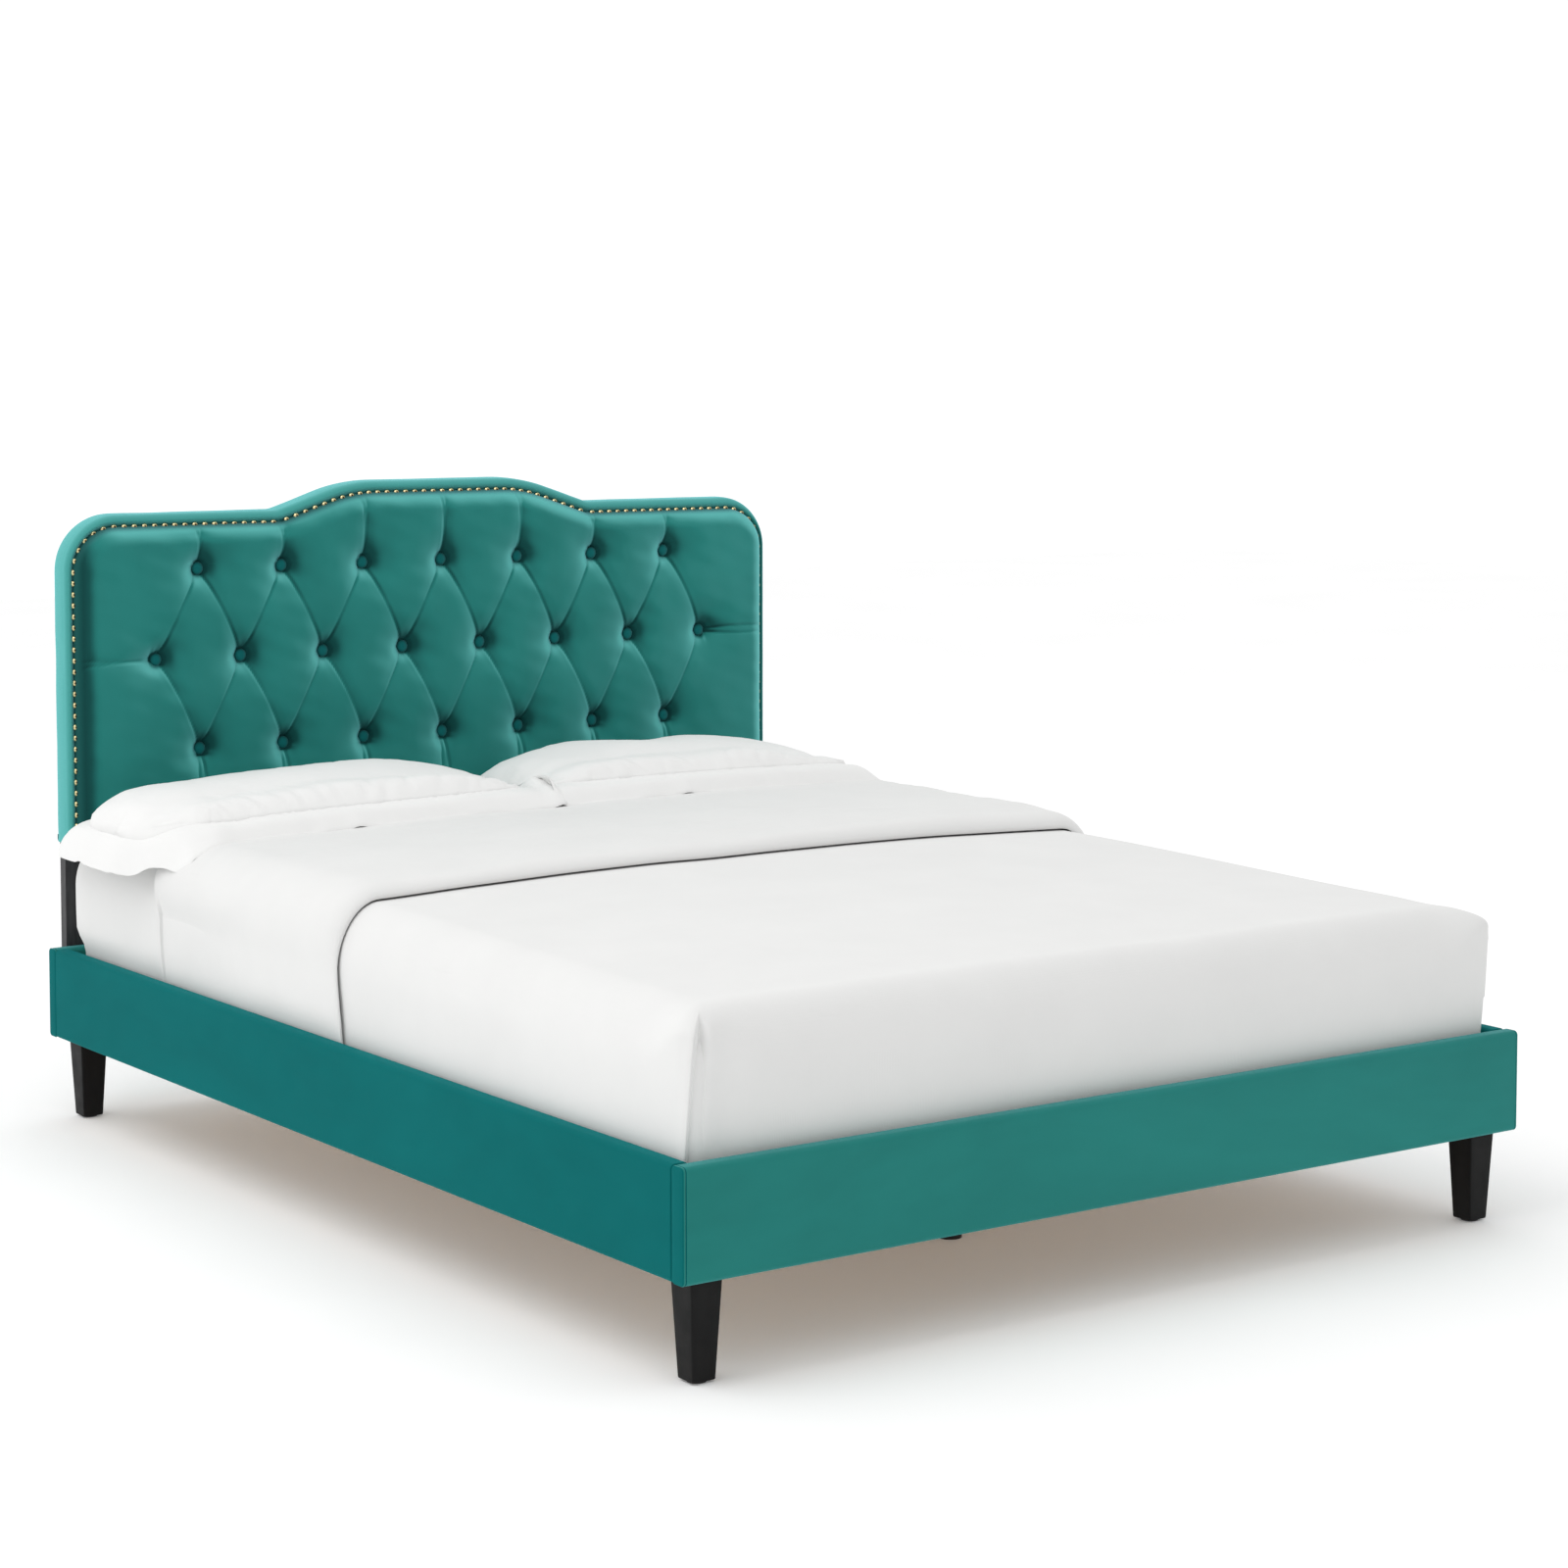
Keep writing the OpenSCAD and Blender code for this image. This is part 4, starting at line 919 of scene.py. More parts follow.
def rail_stations(length):
    """Distances along a rail: close together at the ends, 9 mm apart between."""
    near = np.array([0, 0.3, 0.9, 1.8, 2.9, 4.0, 5.2, 6.6, 8.4, 10.5, 13, 17, 23]) * MM
    inner = np.linspace(near[-1], length - near[-1], int(length / 0.009))
    return np.concatenate([near[:-1], inner, (length - near[:-1])[::-1]])


def swept_rail(profile, length, height, depth, seed, end_round=0.0022):
    """Sweeps the profile; the outer faces swell over their padding and the ends round in."""
    at = rail_stations(length)
    from_end = np.minimum(at, length - at)
    d, h = profile[:, 0][None, :], profile[:, 1][None, :]
    pad = np.sqrt(np.clip(np.sin(pi * np.clip(h / height, 0, 1)), 0, 1)) * smoothstep((0.006 - d) / 0.006)
    cap = smoothstep((h - height + 0.006) / 0.006) * np.sin(pi * np.clip(d / depth, 0, 1))
    place = np.stack(np.broadcast_arrays(at[:, None], h), -1)
    slack = ripple(place * [1, 2.2], 0.35, seed) * 0.0005 + ripple(place * [1, 1.6], 0.12, seed + 1) * 0.00022
    ends = round_rise(from_end / end_round)[:, None]
    quiet = smoothstep(from_end / 0.04)[:, None]
    swell = 0.0012 * pad * (0.4 + 0.6 * quiet) + slack * pad * quiet
    inset = (1 - ends) * end_round
    across = np.clip((d - depth / 2) / (depth / 2), -1, 1)
    from_middle = h - height / 2
    up = np.sign(from_middle) * smoothstep((np.abs(from_middle) - height / 2 + RAIL_ROUND) / RAIL_ROUND)
    return at, d - swell - inset * across, h + 0.0005 * cap * quiet - inset * up


def side_rail(sign, name):
    low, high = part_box(name + "_cover")
    length, height, depth = high.y - low.y, high.z - low.z, high.x - low.x
    profile = rail_profile(height, depth)
    gap = 0.0006
    at, d, h = swept_rail(profile, length - 2 * gap, height, depth, 60 + sign)
    outer_x = high.x if sign > 0 else low.x
    along = np.broadcast_to(low.y + gap + at[:, None], d.shape)
    shell = Shell()
    shell.tube(np.stack([outer_x - sign * d, along, low.z + h], -1), flip=sign > 0)
    # painted shade: the side rails take the darker copy of the velvet
    piece = shell.piece(name + "_velvet", VELVET_SHADED_SIDE, "frame", "velvet", weld=1e-6)
    sharp_by_angle(piece, 60)
    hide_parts(name + "_cover")
    return piece


def end_patch(shell, x_in, x_out, outer_y, sign_y, low_z, height, depth):
    """The cloth folded over a rail's end, sewn to the long sides: a thin rounded plate."""
    sign_x = np.sign(x_out - x_in)
    steps = [(0, 0.0016), (0.0004, 0.0006), (0.0011, 0.0001)]
    turn = np.linspace(0, pi / 2, 7)
    steps += [(PATCH - PATCH_EDGE * (1 - sin(a)), PATCH_EDGE * (1 - cos(a))) for a in turn]
    steps += [(PATCH + 0.0003, 0.0045), (PATCH + 0.0006, 0.0075), (PATCH + 0.0007, 0.011)]
    rings = []
    for out, inset in steps:
        radius = max(RAIL_ROUND - inset, 0.0006)
        near = radius + inset
        corners = ((depth - near, height - near), (near, height - near), (near, near), (depth - near, near))
        ring = rounded_ring(corners, radius, ARC_POINTS, (1, 16, 1, 16))
        rings.append([(x_in + sign_x * out, outer_y + sign_y * d, low_z + h) for d, h in ring])
    shell.tube(np.array(rings), flip=sign_x * sign_y < 0)


def end_rail(name, sign):
    """Foot (sign -1) or head rail: the swept cover with a sewn patch over each end."""
    low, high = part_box(name + "_cover")
    length, height, depth = high.x - low.x, high.z - low.z, high.y - low.y
    at, d, h = swept_rail(rail_profile(height, depth), length - 2 * PATCH, height, depth, 70 + sign, 0.0016)
    outer_y = low.y if sign < 0 else high.y
    along = np.broadcast_to(low.x + PATCH + at[:, None], d.shape)
    shell = Shell()
    shell.tube(np.stack([along, outer_y - sign * d, low.z + h], -1), flip=sign > 0)
    for x_in, x_out in ((low.x + PATCH, low.x), (high.x - PATCH, high.x)):
        end_patch(shell, x_in, x_out, outer_y, -sign, low.z, height, depth)
    piece = shell.piece(name + "_velvet", VELVET_END, "frame", "velvet", weld=1e-6)
    # painted shade: faces turned to the sides, the patches over the ends, take the darker copy of the velvet
    piece.data.materials.append(VELVET_SHADED_SIDE)
    for face in piece.data.polygons:
        face.material_index = int(abs(face.normal.x) > 0.6)
    sharp_by_angle(piece, 60)
    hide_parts(name + "_cover")
    return piece


# ---------------------------------------------------------------- legs

LEG_TOP, LEG_FOOT = 0.053, 0.0385
LEG_EDGE = 0.0024


def corner_legs():
    """Four tapered square legs with softened edges."""
    low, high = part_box("corner_legs")
    height = high.z - low.z
    levels = [(0, 0.0022), (0.0004, 0.0010), (0.0012, 0.0003), (0.0026, 0)]
    levels += [(height * i / 12, 0) for i in range(1, 12)]
    levels += [(height - 0.0015, 0), (height - 0.0003, 0.0004), (height, 0.0012)]
    shell = Shell()
    for cx in (low.x + LEG_TOP / 2, high.x - LEG_TOP / 2):
        for cy in (low.y + LEG_TOP / 2, high.y - LEG_TOP / 2):
            rings = []
            for up, inset in levels:
                reach = (LEG_FOOT + (LEG_TOP - LEG_FOOT) * up / height) / 2 - inset - LEG_EDGE
                corners = [(cx + sx * reach, cy + sy * reach)
                           for sx, sy in ((1, 1), (-1, 1), (-1, -1), (1, -1))]
                ring = rounded_ring(corners, LEG_EDGE, 6, (5, 5, 5, 5))
                rings.append([(x, y, low.z + up) for x, y in ring])
            shell.tube(np.array(rings))
    piece = shell.piece("tapered_legs", BLACK_LEG, "frame", "black_wood", weld=1e-6)
    sharp_by_angle(piece, 50)
    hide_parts("corner_legs")
    return piece


# ---------------------------------------------------------------- bedding

MATTRESS_LO, MATTRESS_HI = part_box("mattress")
RAIL_INNER_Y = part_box("foot_rail_cover")[1].y
RAIL_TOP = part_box("foot_rail_cover")[1].z
TOP_X = 0.715                           # half width of the level top
EDGE_X = 0.075                          # how far the sides stand out beyond it
EDGE_DROP = 0.105                       # height of the rounded shoulder
TOP_FOOT = RAIL_INNER_Y + 0.080         # foot end of the level top
EDGE_Z = 0.520                          # height of the top along its edges
CROWN = 0.012
HEAD_RISE = 0.014                       # the mattress stands higher towards the head
PLAN_R = 0.030
ARC_STEPS = 59                          # columns round each foot corner
CORNER_TIGHT = 0.32                     # the shoulder's height at a foot corner, as a share of the rest
SIDE_LOW = 0.290                        # lowest point of the tucked cloth
FOLD_Y = 0.620                          # head-side fold of the duvet
HEM_Y = -0.035                          # hem of the folded-back band
BAND_RISE = 0.027                       # how far the band stands over the layer under it
HEM_LIFT = 0.0032                       # the same at the hem's edge


def top_height(x, y):
    """Soft crown of the bed's top, with slow undulation."""
    across = np.clip(1 - (np.abs(x) / TOP_X) ** 2.2, 0, 1)
    along = smoothstep((y - TOP_FOOT + 0.02) / 0.42)
    wave = ripple(np.stack([x, y * 0.7], -1), 0.5, 91) * 0.0011
    wave = wave + ripple(np.stack([x, y], -1), 0.19, 92) * 0.0004
    rise = 0.0035 * smoothstep((y - TOP_FOOT) / 0.1) + HEAD_RISE * smoothstep((y - TOP_FOOT) / 0.9)
    return EDGE_Z - 0.002 + CROWN * across * along + rise + wave * across ** 0.5


def wall_profile(steps_round=15, steps_wall=11):
    """(share of the stand-out, drop) from the level top over the shoulder and down the side."""
    turn = np.linspace(0, pi / 2, steps_round)[1:]
    stand = list(np.sin(turn))
    drop = list(EDGE_DROP * (1 - np.cos(turn)))
    low = EDGE_Z - SIDE_LOW
    for s in np.linspace(0, 1, steps_wall)[1:]:
        stand.append(1 - 0.085 * s ** 1.6)
        drop.append(EDGE_DROP + (low - EDGE_DROP) * s)
    return np.array(stand), np.array(drop)


class BedShape:
    """The cloth surface over the mattress: a grid on top and strips down the sides, with hospital corners."""

    def __init__(self):
        self.stand, self.drop = wall_profile()
        low = EDGE_Z - SIDE_LOW
        tight = EDGE_DROP * CORNER_TIGHT
        wall = tight + (self.drop - EDGE_DROP) * (low - tight) / (low - EDGE_DROP)
        self.corner_drop = np.where(self.drop <= EDGE_DROP + 1e-9, self.drop * CORNER_TIGHT, wall)

    def top_grid(self, xs, ys):
        gx, gy = np.meshgrid(xs, ys)
        return np.stack([gx, gy, top_height(gx, gy)], -1)

    def strip(self, inner, outer, crease, tight):
        """Points from the inner ring over the shoulder and down, one column for each pair; tight columns turn
        down more sharply."""
        stand, drop = self.stand[:, None], self.drop[:, None]
        drop = drop + (self.corner_drop[:, None] - drop) * tight[None, :]
        plan = inner[None, :, :2] + (outer - inner[:, :2])[None] * stand[..., None]
        direction = outer - inner[:, :2]
        direction = direction / np.linalg.norm(direction, axis=1, keepdims=True)
        z = inner[None, :, 2] - drop * (inner[None, :, 2] - SIDE_LOW) / (EDGE_Z - SIDE_LOW)
        plan = plan + direction[None] * crease[..., None]
        return np.concatenate([plan, z[..., None]], -1)


def corner_crease(shape, q, slide, swell, reach):
    """Outward push round a hospital corner; q is the distance past the fold's edge, in metres. The lip ends
    crisply, a narrow valley follows it and the next face swells beyond."""
    drop = shape.corner_drop[:, None]
    down = smoothstep((drop - 0.004) / 0.020)
    q = q[None, :] - slide * (1 - drop / (EDGE_Z - SIDE_LOW))
    lip = 0.0060 * np.where(q < 0, bell(q / 0.012), bell(q / 0.0012))
    valley = -0.0185 * np.where(q < 0.0034, bell((q - 0.0034) / 0.0020), bell((q - 0.0034) / 0.013))
    above_rail = 1 - smoothstep((drop - 0.150) / 0.045)
    next_face = swell * bell((q - 1.6 * reach) / reach) * (q > 0) * (above_rail if swell > 0 else 1)
    return (lip + valley + next_face) * down


def duvet():
    """One sheet: tucked in at the foot and the sides, over the top, and folded back at the head end."""
    shape = BedShape()
    close = np.linspace(0, 0.06, 41)
    middle = np.linspace(0.06 - TOP_X, TOP_X - 0.06, 133)
    xs = np.concatenate([close[:-1] - TOP_X, middle, TOP_X - close[-2::-1]])
    near_foot = TOP_FOOT + close
    rest = np.linspace(TOP_FOOT + 0.06, FOLD_Y, 153)[1:]
    ys = np.concatenate([near_foot, rest])
    top = shape.top_grid(xs, ys)
    centre_x, centre_y = TOP_X + EDGE_X - PLAN_R, TOP_FOOT - EDGE_X + PLAN_R
    arc = np.linspace(0, pi / 2, ARC_STEPS + 2)
    left_y = ys - 0.045 * np.exp(-(ys - TOP_FOOT) / 0.08)
    foot_x = xs + 0.045 * np.exp(-(TOP_X - xs) / 0.08) - 0.045 * np.exp(-(TOP_X + xs) / 0.08)
    left_outer = np.stack([np.full_like(ys, -TOP_X - EDGE_X), left_y], -1)[::-1]
    right_outer = np.stack([np.full_like(ys, TOP_X + EDGE_X), left_y], -1)
    foot_outer = np.stack([foot_x, np.full_like(xs, TOP_FOOT - EDGE_X)], -1)
    arc_left = np.stack([-centre_x - PLAN_R * np.cos(arc), centre_y - PLAN_R * np.sin(arc)], -1)
    arc_right = np.stack([centre_x + PLAN_R * np.sin(arc), centre_y - PLAN_R * np.cos(arc)], -1)
    inner = np.concatenate([top[::-1, 0], np.repeat(top[:1, 0], ARC_STEPS, 0), top[0, :],
                            np.repeat(top[:1, -1], ARC_STEPS, 0), top[:, -1]])
    outer = np.concatenate([left_outer, arc_left[1:-1], foot_outer, arc_right[1:-1], right_outer])
    travel = np.concatenate([[0], np.cumsum(np.linalg.norm(np.diff(outer, axis=0), axis=1))])
    foot_start = travel[len(ys) + ARC_STEPS]
    foot_end = travel[len(ys) + ARC_STEPS + len(xs) - 1]
    crease = corner_crease(shape, travel - foot_start + 0.030, 0.018, -0.0045, 0.030)
    crease = crease + corner_crease(shape, travel - foot_end - 0.022, 0.004, 0.0220, 0.020)
    half_arc = PLAN_R * pi / 4
    tight = bell((travel - foot_start + half_arc) / 0.075) + bell((travel - foot_end - half_arc) / 0.075)
    tight = np.clip(tight, 0, 1)
    wave = ripple(np.stack([travel[None] * np.ones_like(shape.drop)[:, None],
                            shape.drop[:, None] * 1.5 * np.ones_like(travel)[None]], -1), 0.33, 93) * 0.0012
    crease = crease + wave * smoothstep(shape.drop / 0.06)[:, None]
    walls = shape.strip(inner, outer, crease, tight)
    walls = np.concatenate([inner[None], walls])
    shell = Shell()
    shell.grid(top)
    shell.grid(walls, flip=True)
    left_edge = walls[:, 0][::-1]
    right_edge = walls[:, -1]
    section = np.concatenate([left_edge[:-1], top[-1], right_edge[1:]])
    shell.grid(folded_band(section, shape, xs), flip=False)
    piece = shell.piece("duvet_cover", LINEN, "mattress", "bed_linen", weld=1e-6)
    thicken(piece, 0.0034)
    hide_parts("duvet")
    return piece


def section_normals(section):
    step = np.gradient(section, axis=0)
    normal = np.stack([-step[:, 2], np.zeros(len(step)), step[:, 0]], -1)
    return normal / np.maximum(np.linalg.norm(normal, axis=1, keepdims=True), 1e-9)


def bed_section(shape, xs, y):
    """Cross-section of the bed shape at y, away from the foot: left wall, top, right wall."""
    top = np.stack([xs, np.full_like(xs, y), top_height(xs, np.full_like(xs, y))], -1)
    rows = []
    for sign, start in ((-1, top[0]), (1, top[-1])):
        x = start[0] + sign * EDGE_X * shape.stand
        z = start[2] - shape.drop * (start[2] - SIDE_LOW) / (EDGE_Z - SIDE_LOW)
        rows.append(np.stack([x, np.full_like(x, y), z], -1))
    return np.concatenate([rows[0][::-1], top, rows[1]])


def fullness(x):
    """The folded band is fuller towards the right."""
    return 1 + 0.22 * smoothstep((x + 0.45) / 0.9)


def folded_band(section, shape, xs):
    """Grid from the head-side fold, round the nose and back over the bed to the hem."""
    count = len(section)
    height = section[:, 2]
    level = smoothstep((height - 0.42) / 0.09)
    rise = BAND_RISE * fullness(section[:, 0])
    offset = 0.0015 + (rise - 0.0015) * level
    low = smoothstep((height - RAIL_TOP) / 0.05)
    offset = offset * (0.45 + 0.55 * low)
    rows = [section]
    for a in np.linspace(0, pi, 9)[1:-1]:
        normal = section_normals(section)
        ring = section + normal * (offset / 2 * (1 - np.cos(a)))[:, None]
        ring[:, 1] += offset / 2 * np.sin(a) * 1.4
        rows.append(ring)
    near_hem = HEM_Y + np.array([110, 98, 87, 77, 68, 60, 54, 48, 42, 36, 30, 25, 20, 16, 12, 9, 6.5, 4.5, 3,
                                 1.5, 0]) * MM
    stations = np.concatenate([np.linspace(FOLD_Y, near_hem[0], 62)[:-1], near_hem])
    for y in stations:
        base = bed_section(shape, xs, y)
        normal = section_normals(base)
        past = y - HEM_Y
        slope = 0.80 * round_rise(past / 0.036) + 0.20 * smoothstep(past / 0.110)
        side = 0.0080 * (1 - level) * (1 - smoothstep((past - 0.20) / 0.25)) * low
        nose = 0.0012 * round_rise(past / 0.006)
        ease = 1 - smoothstep((past - 0.25) / 0.3) * (1 - level)
        lift = (HEM_LIFT + nose) * ease + (offset + side - HEM_LIFT - 0.0012) * slope
        soft = ripple(np.stack([base[:, 0], np.full(count, y)], -1), 0.28, 95) * 0.0011
        soft = soft + ripple(np.stack([base[:, 0] * 0.5, np.full(count, y * 2.0)], -1), 0.12, 96) * 0.0007
        ring = base + normal * (lift + soft * slope * level)[:, None]
        sway = 0.0030 * np.sin(base[:, 0] * 5.1 + 0.8) + 0.0016 * np.sin(base[:, 0] * 13 + 2.2)
        hang = -0.010 * smoothstep((0.47 - base[:, 2]) / 0.17) * np.where(base[:, 0] < 0, 1, 0.6)
        ring[:, 1] += (sway + hang) * (1 - smoothstep((y - HEM_Y) / 0.35))
        rows.append(ring)
    return np.array(rows)


def closed_block(top_z_edge, low_z, foot, head, half, drop, plan_r, crown):
    """Rounded block with a grid on top and walls down all four sides."""
    inset = min(drop, 0.06)
    tx, ty0, ty1 = half - inset, foot + inset, head - inset
    xs = np.linspace(-tx, tx, 81)
    ys = np.linspace(ty0, ty1, 111)
    gx, gy = np.meshgrid(xs, ys)
    from_middle = np.abs(gy - (ty0 + ty1) / 2) / ((ty1 - ty0) / 2)
    dome = crown * np.clip(1 - (np.abs(gx) / tx) ** 2.4, 0, 1) * np.clip(1 - from_middle ** 6, 0, 1)
    rise = HEAD_RISE * smoothstep((gy - TOP_FOOT) / 0.9)
    top = np.stack([gx, gy, top_z_edge + dome + rise], -1)
    cx, cy0, cy1 = half - plan_r, foot + plan_r, head - plan_r
    arc = np.linspace(0, pi / 2, 13)[1:-1]

    def spread(values, lo, hi, to_lo, to_hi):
        low_end = (to_lo - lo) * np.exp(-(values - lo) / 0.07)
        return values + low_end + (to_hi - hi) * np.exp(-(hi - values) / 0.07)

    oy, ox = spread(ys, ty0, ty1, cy0, cy1), spread(xs, -tx, tx, -cx, cx)
    inner = np.concatenate([top[::-1, 0], np.repeat(top[:1, 0], 11, 0), top[0], np.repeat(top[:1, -1], 11, 0),
                            top[:, -1], np.repeat(top[-1:, -1], 11, 0), top[-1, ::-1],
                            np.repeat(top[-1:, 0], 11, 0)])
    outer = np.concatenate([
        np.stack([np.full_like(ys, -half), oy], -1)[::-1],
        np.stack([-cx - plan_r * np.cos(arc), cy0 - plan_r * np.sin(arc)], -1),
        np.stack([ox, np.full_like(xs, foot)], -1),
        np.stack([cx + plan_r * np.sin(arc), cy0 - plan_r * np.cos(arc)], -1),
        np.stack([np.full_like(ys, half), oy], -1),
        np.stack([cx + plan_r * np.cos(arc), cy1 + plan_r * np.sin(arc)], -1),
        np.stack([ox, np.full_like(xs, head)], -1)[::-1],
        np.stack([-cx - plan_r * np.sin(arc), cy1 + plan_r * np.cos(arc)], -1)])
    turn = np.linspace(0, pi / 2, 12)[1:]
    stand = list(np.sin(turn)) + [1 - 0.03 * s for s in np.linspace(0, 1, 10)[1:]]
    fall = list(drop * (1 - np.cos(turn))) + list(np.linspace(drop, top_z_edge - low_z, 10)[1:])
    stand, fall = np.array(stand)[:, None], np.array(fall)[:, None]
    plan = inner[None, :, :2] + (outer - inner[:, :2])[None] * stand[..., None]
    z = inner[None, :, 2] - fall
    z[-1] = low_z
    return top, np.concatenate([inner[None], np.concatenate([plan, z[..., None]], -1)])


def fitted_sheet():
    """Elasticated sheet drawn over the mattress and under its edge."""
    top, walls = closed_block(0.5145, 0.284, RAIL_INNER_Y + 0.0125, MATTRESS_HI.y + 0.002, 0.7840, 0.085,
                              0.022, 0.012)
    under = []
    for inset, z in ((0.004, 0.2790), (0.012, 0.2768), (0.024, 0.2764), (0.040, 0.2768)):
        ring = walls[-1].copy()
        centre = np.array([0, (ring[:, 1].max() + ring[:, 1].min()) / 2, 0])
        pull = np.sign(ring[:, :2] - centre[:2]) * inset
        flat_x = np.abs(np.abs(ring[:, 0]) - np.abs(ring[:, 0]).max()) < 0.03
        flat_y = (ring[:, 1] < ring[:, 1].min() + 0.03) | (ring[:, 1] > ring[:, 1].max() - 0.03)
        ring[:, 0] -= np.where(flat_x, pull[:, 0], 0)
        ring[:, 1] -= np.where(flat_y, pull[:, 1], 0)
        ring[:, 2] = z
        under.append(ring)
    travel = np.concatenate([[0], np.cumsum(np.linalg.norm(np.diff(walls[-1], axis=0), axis=1))])
    levels = np.arange(len(walls))[:, None] / len(walls)
    place = np.stack([travel[None] + 0 * levels, levels * 0.4 + 0 * travel[None]], -1)
    slack = ripple(place, 0.2, 97) * 0.0009
    centre_y = (walls[-1][:, 1].max() + walls[-1][:, 1].min()) / 2
    outward = np.stack([np.sign(walls[-1][:, 0]) * (np.abs(walls[-1][:, 0]) > 0.7),
                        np.sign(walls[-1][:, 1] - centre_y) * (np.abs(walls[-1][:, 0]) <= 0.7)], -1)
    walls[1:, :, :2] += outward[None] * (slack * smoothstep(levels * 3))[1:, :, None]
    bare = smoothstep((walls[..., 1] - FOLD_Y + 0.006) / 0.014)
    bare = bare * smoothstep((walls[..., 2] - RAIL_TOP) / 0.05)
    side = smoothstep((np.abs(walls[..., 0]) - 0.725) / 0.05)
    bulge = 0.0085 + 0.0080 * smoothstep((walls[..., 1] - FOLD_Y - 0.10) / 0.25)
    walls[..., 0] += np.sign(walls[..., 0]) * bulge * bare * side
    shell = Shell()
    shell.grid(top)
    shell.grid(np.concatenate([walls, np.array(under)]), wrap=True, flip=True)
    piece = shell.piece("fitted_sheet_cloth", SHEET_LINEN, "mattress", "bed_linen", weld=1e-6)
    thicken(piece, 0.0012)
    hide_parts("fitted_sheet")
    return piece


def mattress_block():
    """Foam mattress in its ticking: a rounded block closed by a slightly smaller base."""
    top, walls = closed_block(0.5085, MATTRESS_LO.z + 0.006, RAIL_INNER_Y + 0.0165, MATTRESS_HI.y - 0.001,
                              0.7775, 0.070, 0.045, 0.011)
    shell = Shell()
    shell.grid(top)
    shell.grid(walls, wrap=True, flip=True)
    base = walls[-1].copy()
    base[:, :2] *= 0.994
    base[:, 2] = MATTRESS_LO.z + 0.0008
    shell.grid(np.array([walls[-1], base]), wrap=True, flip=True)
    shell.add(base, [np.arange(len(base))[::-1]])
    piece = shell.piece("mattress_ticking", TICKING, "mattress", "ticking", weld=1e-6)
    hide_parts("mattress")
    return piece


# ---------------------------------------------------------------- pillows

FLANGE = 0.044
FLANGE_DROP = 0.034
SEAM_LIFT = 0.032                       # height of the seam above the bed in the middle of a side
FULL_END, SOFT_END = 4.5, 2.7           # the left end of each pillow is fuller than the right
UPPER, LOWER = 0.073, 0.024           # half thicknesses before the body is blown up
SIM_FRAMES = 20


def inflate(piece, pressure, cap, pins):
    """Blows a closed mesh up with the cloth solver, limits the travel and leaves plain geometry."""
    start = vertex_places(piece)
    group = piece.vertex_groups.new(name="pin")
    group.add(pins(start).tolist(), 1.0, "REPLACE")
    cloth = piece.modifiers.new("inflate", "CLOTH")
    settings = cloth.settings
    settings.use_pressure = True
    settings.uniform_pressure_force = pressure
    settings.effector_weights.gravity = 0
    settings.vertex_group_mass = "pin"
    settings.shrink_min = -0.020
    settings.quality = 5
    settings.mass = 0.25
    settings.tension_stiffness = settings.compression_stiffness = 12
    settings.bending_stiffness = 0.4
    cloth.point_cache.frame_end = SIM_FRAMES
    for step in range(1, SIM_FRAMES + 1):
        SCENE.frame_set(step)
    graph = bpy.context.evaluated_depsgraph_get()
    moved = vertex_places(piece.evaluated_get(graph))
    piece.modifiers.clear()
    piece.vertex_groups.clear()
    SCENE.frame_set(1)
    travel = moved - start
    length = np.maximum(np.linalg.norm(travel, axis=1, keepdims=True), 1e-9)
    travel *= cap * np.tanh(length / cap) / length
    return start + travel


def superellipse_radius(a, b, power=5.0):
    return (np.abs(a) ** power + np.abs(b) ** power) ** (1 / power)


def pillow_body(width, depth):
    """Local mesh of the stuffed body, from a flat lens blown up with the cloth solver."""
    n, m = 96, 54
    a, b = np.meshgrid(np.linspace(-1, 1, n), np.linspace(-1, 1, m))
    x = a * width / 2
    y = b * depth / 2
    scale = np.where(superellipse_radius(a, b) > 1e-9,
                     np.maximum(np.abs(a), np.abs(b)) / np.maximum(superellipse_radius(a, b), 1e-9), 1)
    x, y = x * scale, y * scale
    along = np.clip(1 - np.abs(a) ** np.where(a < 0, FULL_END, SOFT_END), 0, 1) ** 0.5
    across = np.clip(1 - np.abs(b) ** 2.3, 0, 1) ** np.where(b < 0, 0.70, 0.52)
    lens = along * across
    shell = Shell()
    for side in (1, -1):
        z = side * lens * (UPPER * (1 + 0.16 * b) if side > 0 else LOWER)
        shell.grid(np.stack([x, y, z], -1), flip=side < 0)
    piece = shell.piece("pillow_start", PILLOW_LINEN, "pillow_left", "bed_linen", weld=1e-6)
    points = inflate(piece, 4.0, 0.018, lambda p: np.nonzero(np.abs(p[:, 2]) < 1e-5)[0])
    faces = [list(p.vertices) for p in piece.data.polygons]
    bpy.data.objects.remove(piece)
    return points, faces


